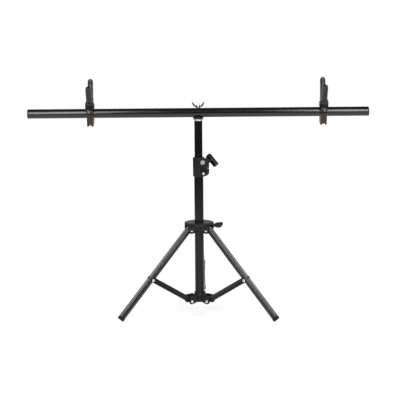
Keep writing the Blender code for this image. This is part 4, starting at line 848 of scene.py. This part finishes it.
def wound_spring(name):
    """A wire coiled about X, with a straight leg up from each end at a handle's angle."""
    bpy.ops.object.select_all(action="DESELECT")
    bpy.ops.mesh.primitive_plane_add(size=0.001)
    wire = bpy.context.object
    wire.name = name
    bpy.ops.object.mode_set(mode="EDIT")
    bpy.ops.mesh.select_all(action="SELECT")
    bpy.ops.mesh.merge(type="CENTER")
    start = (
        -SPRING_WIDTH / 2,
        SPRING_RADIUS * math.cos(HANDLE_ANGLE),
        SPRING_RADIUS * math.sin(HANDLE_ANGLE),
    )
    bpy.ops.transform.translate(value=start)
    bpy.ops.object.mode_set(mode="OBJECT")
    coil = wire.modifiers.new("coil", "SCREW")
    coil.axis = "X"
    coil.angle = -SPRING_TURN
    coil.screw_offset = SPRING_WIDTH
    coil.steps = coil.render_steps = SPRING_STEPS
    coil.use_smooth_shade = True
    bpy.ops.object.modifier_apply(modifier="coil")
    points = sorted(wire.data.vertices, key=lambda point: point.co.x)
    ends = (points[0].index, points[-1].index)
    for index, way in zip(ends, (-1, 1)):
        for point in wire.data.vertices:
            point.select = point.index == index
        bpy.ops.object.mode_set(mode="EDIT")
        run = (0, way * math.sin(HANDLE_ANGLE) * SPRING_LEG, math.cos(HANDLE_ANGLE) * SPRING_LEG)
        bpy.ops.mesh.extrude_region_move(TRANSFORM_OT_translate={"value": run})
        bpy.ops.object.mode_set(mode="OBJECT")
    bpy.ops.object.convert(target="CURVE")
    wire.data.bevel_depth = SPRING_WIRE
    wire.data.bevel_resolution = 3
    wire.data.use_fill_caps = True
    bpy.ops.object.convert(target="MESH")
    bpy.ops.object.mode_set(mode="EDIT")
    bpy.ops.mesh.select_all(action="SELECT")
    bpy.ops.mesh.remove_doubles(threshold=MERGE_WITHIN)
    bpy.ops.mesh.normals_make_consistent(inside=False)
    bpy.ops.object.mode_set(mode="OBJECT")
    bpy.ops.object.shade_smooth_by_angle(angle=SMOOTH_BELOW)
    return wire


HANDLE_LENGTH = 65 * MM
HANDLE_WIDTH = 12.4 * MM
HANDLE_STANDOFF = 4.9 * MM
HANDLE_THICKNESS = 5 * MM


def handle_end_cutter(pivot, way):
    """What lies round a half-round handle end: a block with a round bore through it."""
    handle = (
        Matrix.Translation(pivot)
        @ Matrix.Rotation(CLAMP_LEAN, 4, "X")
        @ Matrix.Rotation(-way * HANDLE_ANGLE, 4, "X")
    )
    radius = HANDLE_WIDTH / 2
    across = way * (HANDLE_STANDOFF + HANDLE_THICKNESS / 2)
    bpy.ops.object.select_all(action="DESELECT")
    bpy.ops.mesh.primitive_cube_add(size=1, location=(0, across, HANDLE_LENGTH))
    block = bpy.context.object
    block.scale = (3 * radius, 3 * HANDLE_THICKNESS, 2 * radius)
    bpy.ops.object.transform_apply(location=True, rotation=True, scale=True)
    bpy.ops.mesh.primitive_cylinder_add(
        vertices=48,
        radius=radius,
        depth=4 * HANDLE_THICKNESS,
        location=(0, across, HANDLE_LENGTH - radius),
        rotation=(math.radians(90), 0, 0),
    )
    cut(block, bpy.context.object)
    return put(block, handle)


for side in ("left", "right"):
    pivot = PIVOTS[f"clamp_{side}_rear"]
    for half, way in (("front", -1), ("rear", 1)):
        node = f"{half}_jaw_{side}"
        end_cutter = handle_end_cutter(pivot, way)
        jaw = moulded(f"clamp_{half}_jaw_{side}", node, rounding=0.55 * MM, end_cutter=end_cutter)
        stands_for(jaw, node, clamp_nylon)
        node = f"{half}_pad_{side}"
        stands_for(moulded(f"clamp_{half}_grip_{side}", node, rounding=0.5 * MM), node, orange_grip)
    pin = rivet(
        f"clamp_pivot_pin_{side}",
        half_length=10.4 * MM,
        head_radius=1.8 * MM,
        head_height=0.6 * MM,
        shank=1.75 * MM,
    )
    put(pin, along(Vector((1, 0, 0)), pivot))
    stands_for(pin, f"clamp_pin_{side}", plated_steel)
    spring = wound_spring(f"clamp_wire_spring_{side}")
    put(spring, Matrix.Translation(pivot) @ Matrix.Rotation(CLAMP_LEAN, 4, "X"))
    spring.data.materials.clear()
    spring.data.materials.append(spring_steel)
    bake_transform(spring)
    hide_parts(f"clamp_spring_{side}")
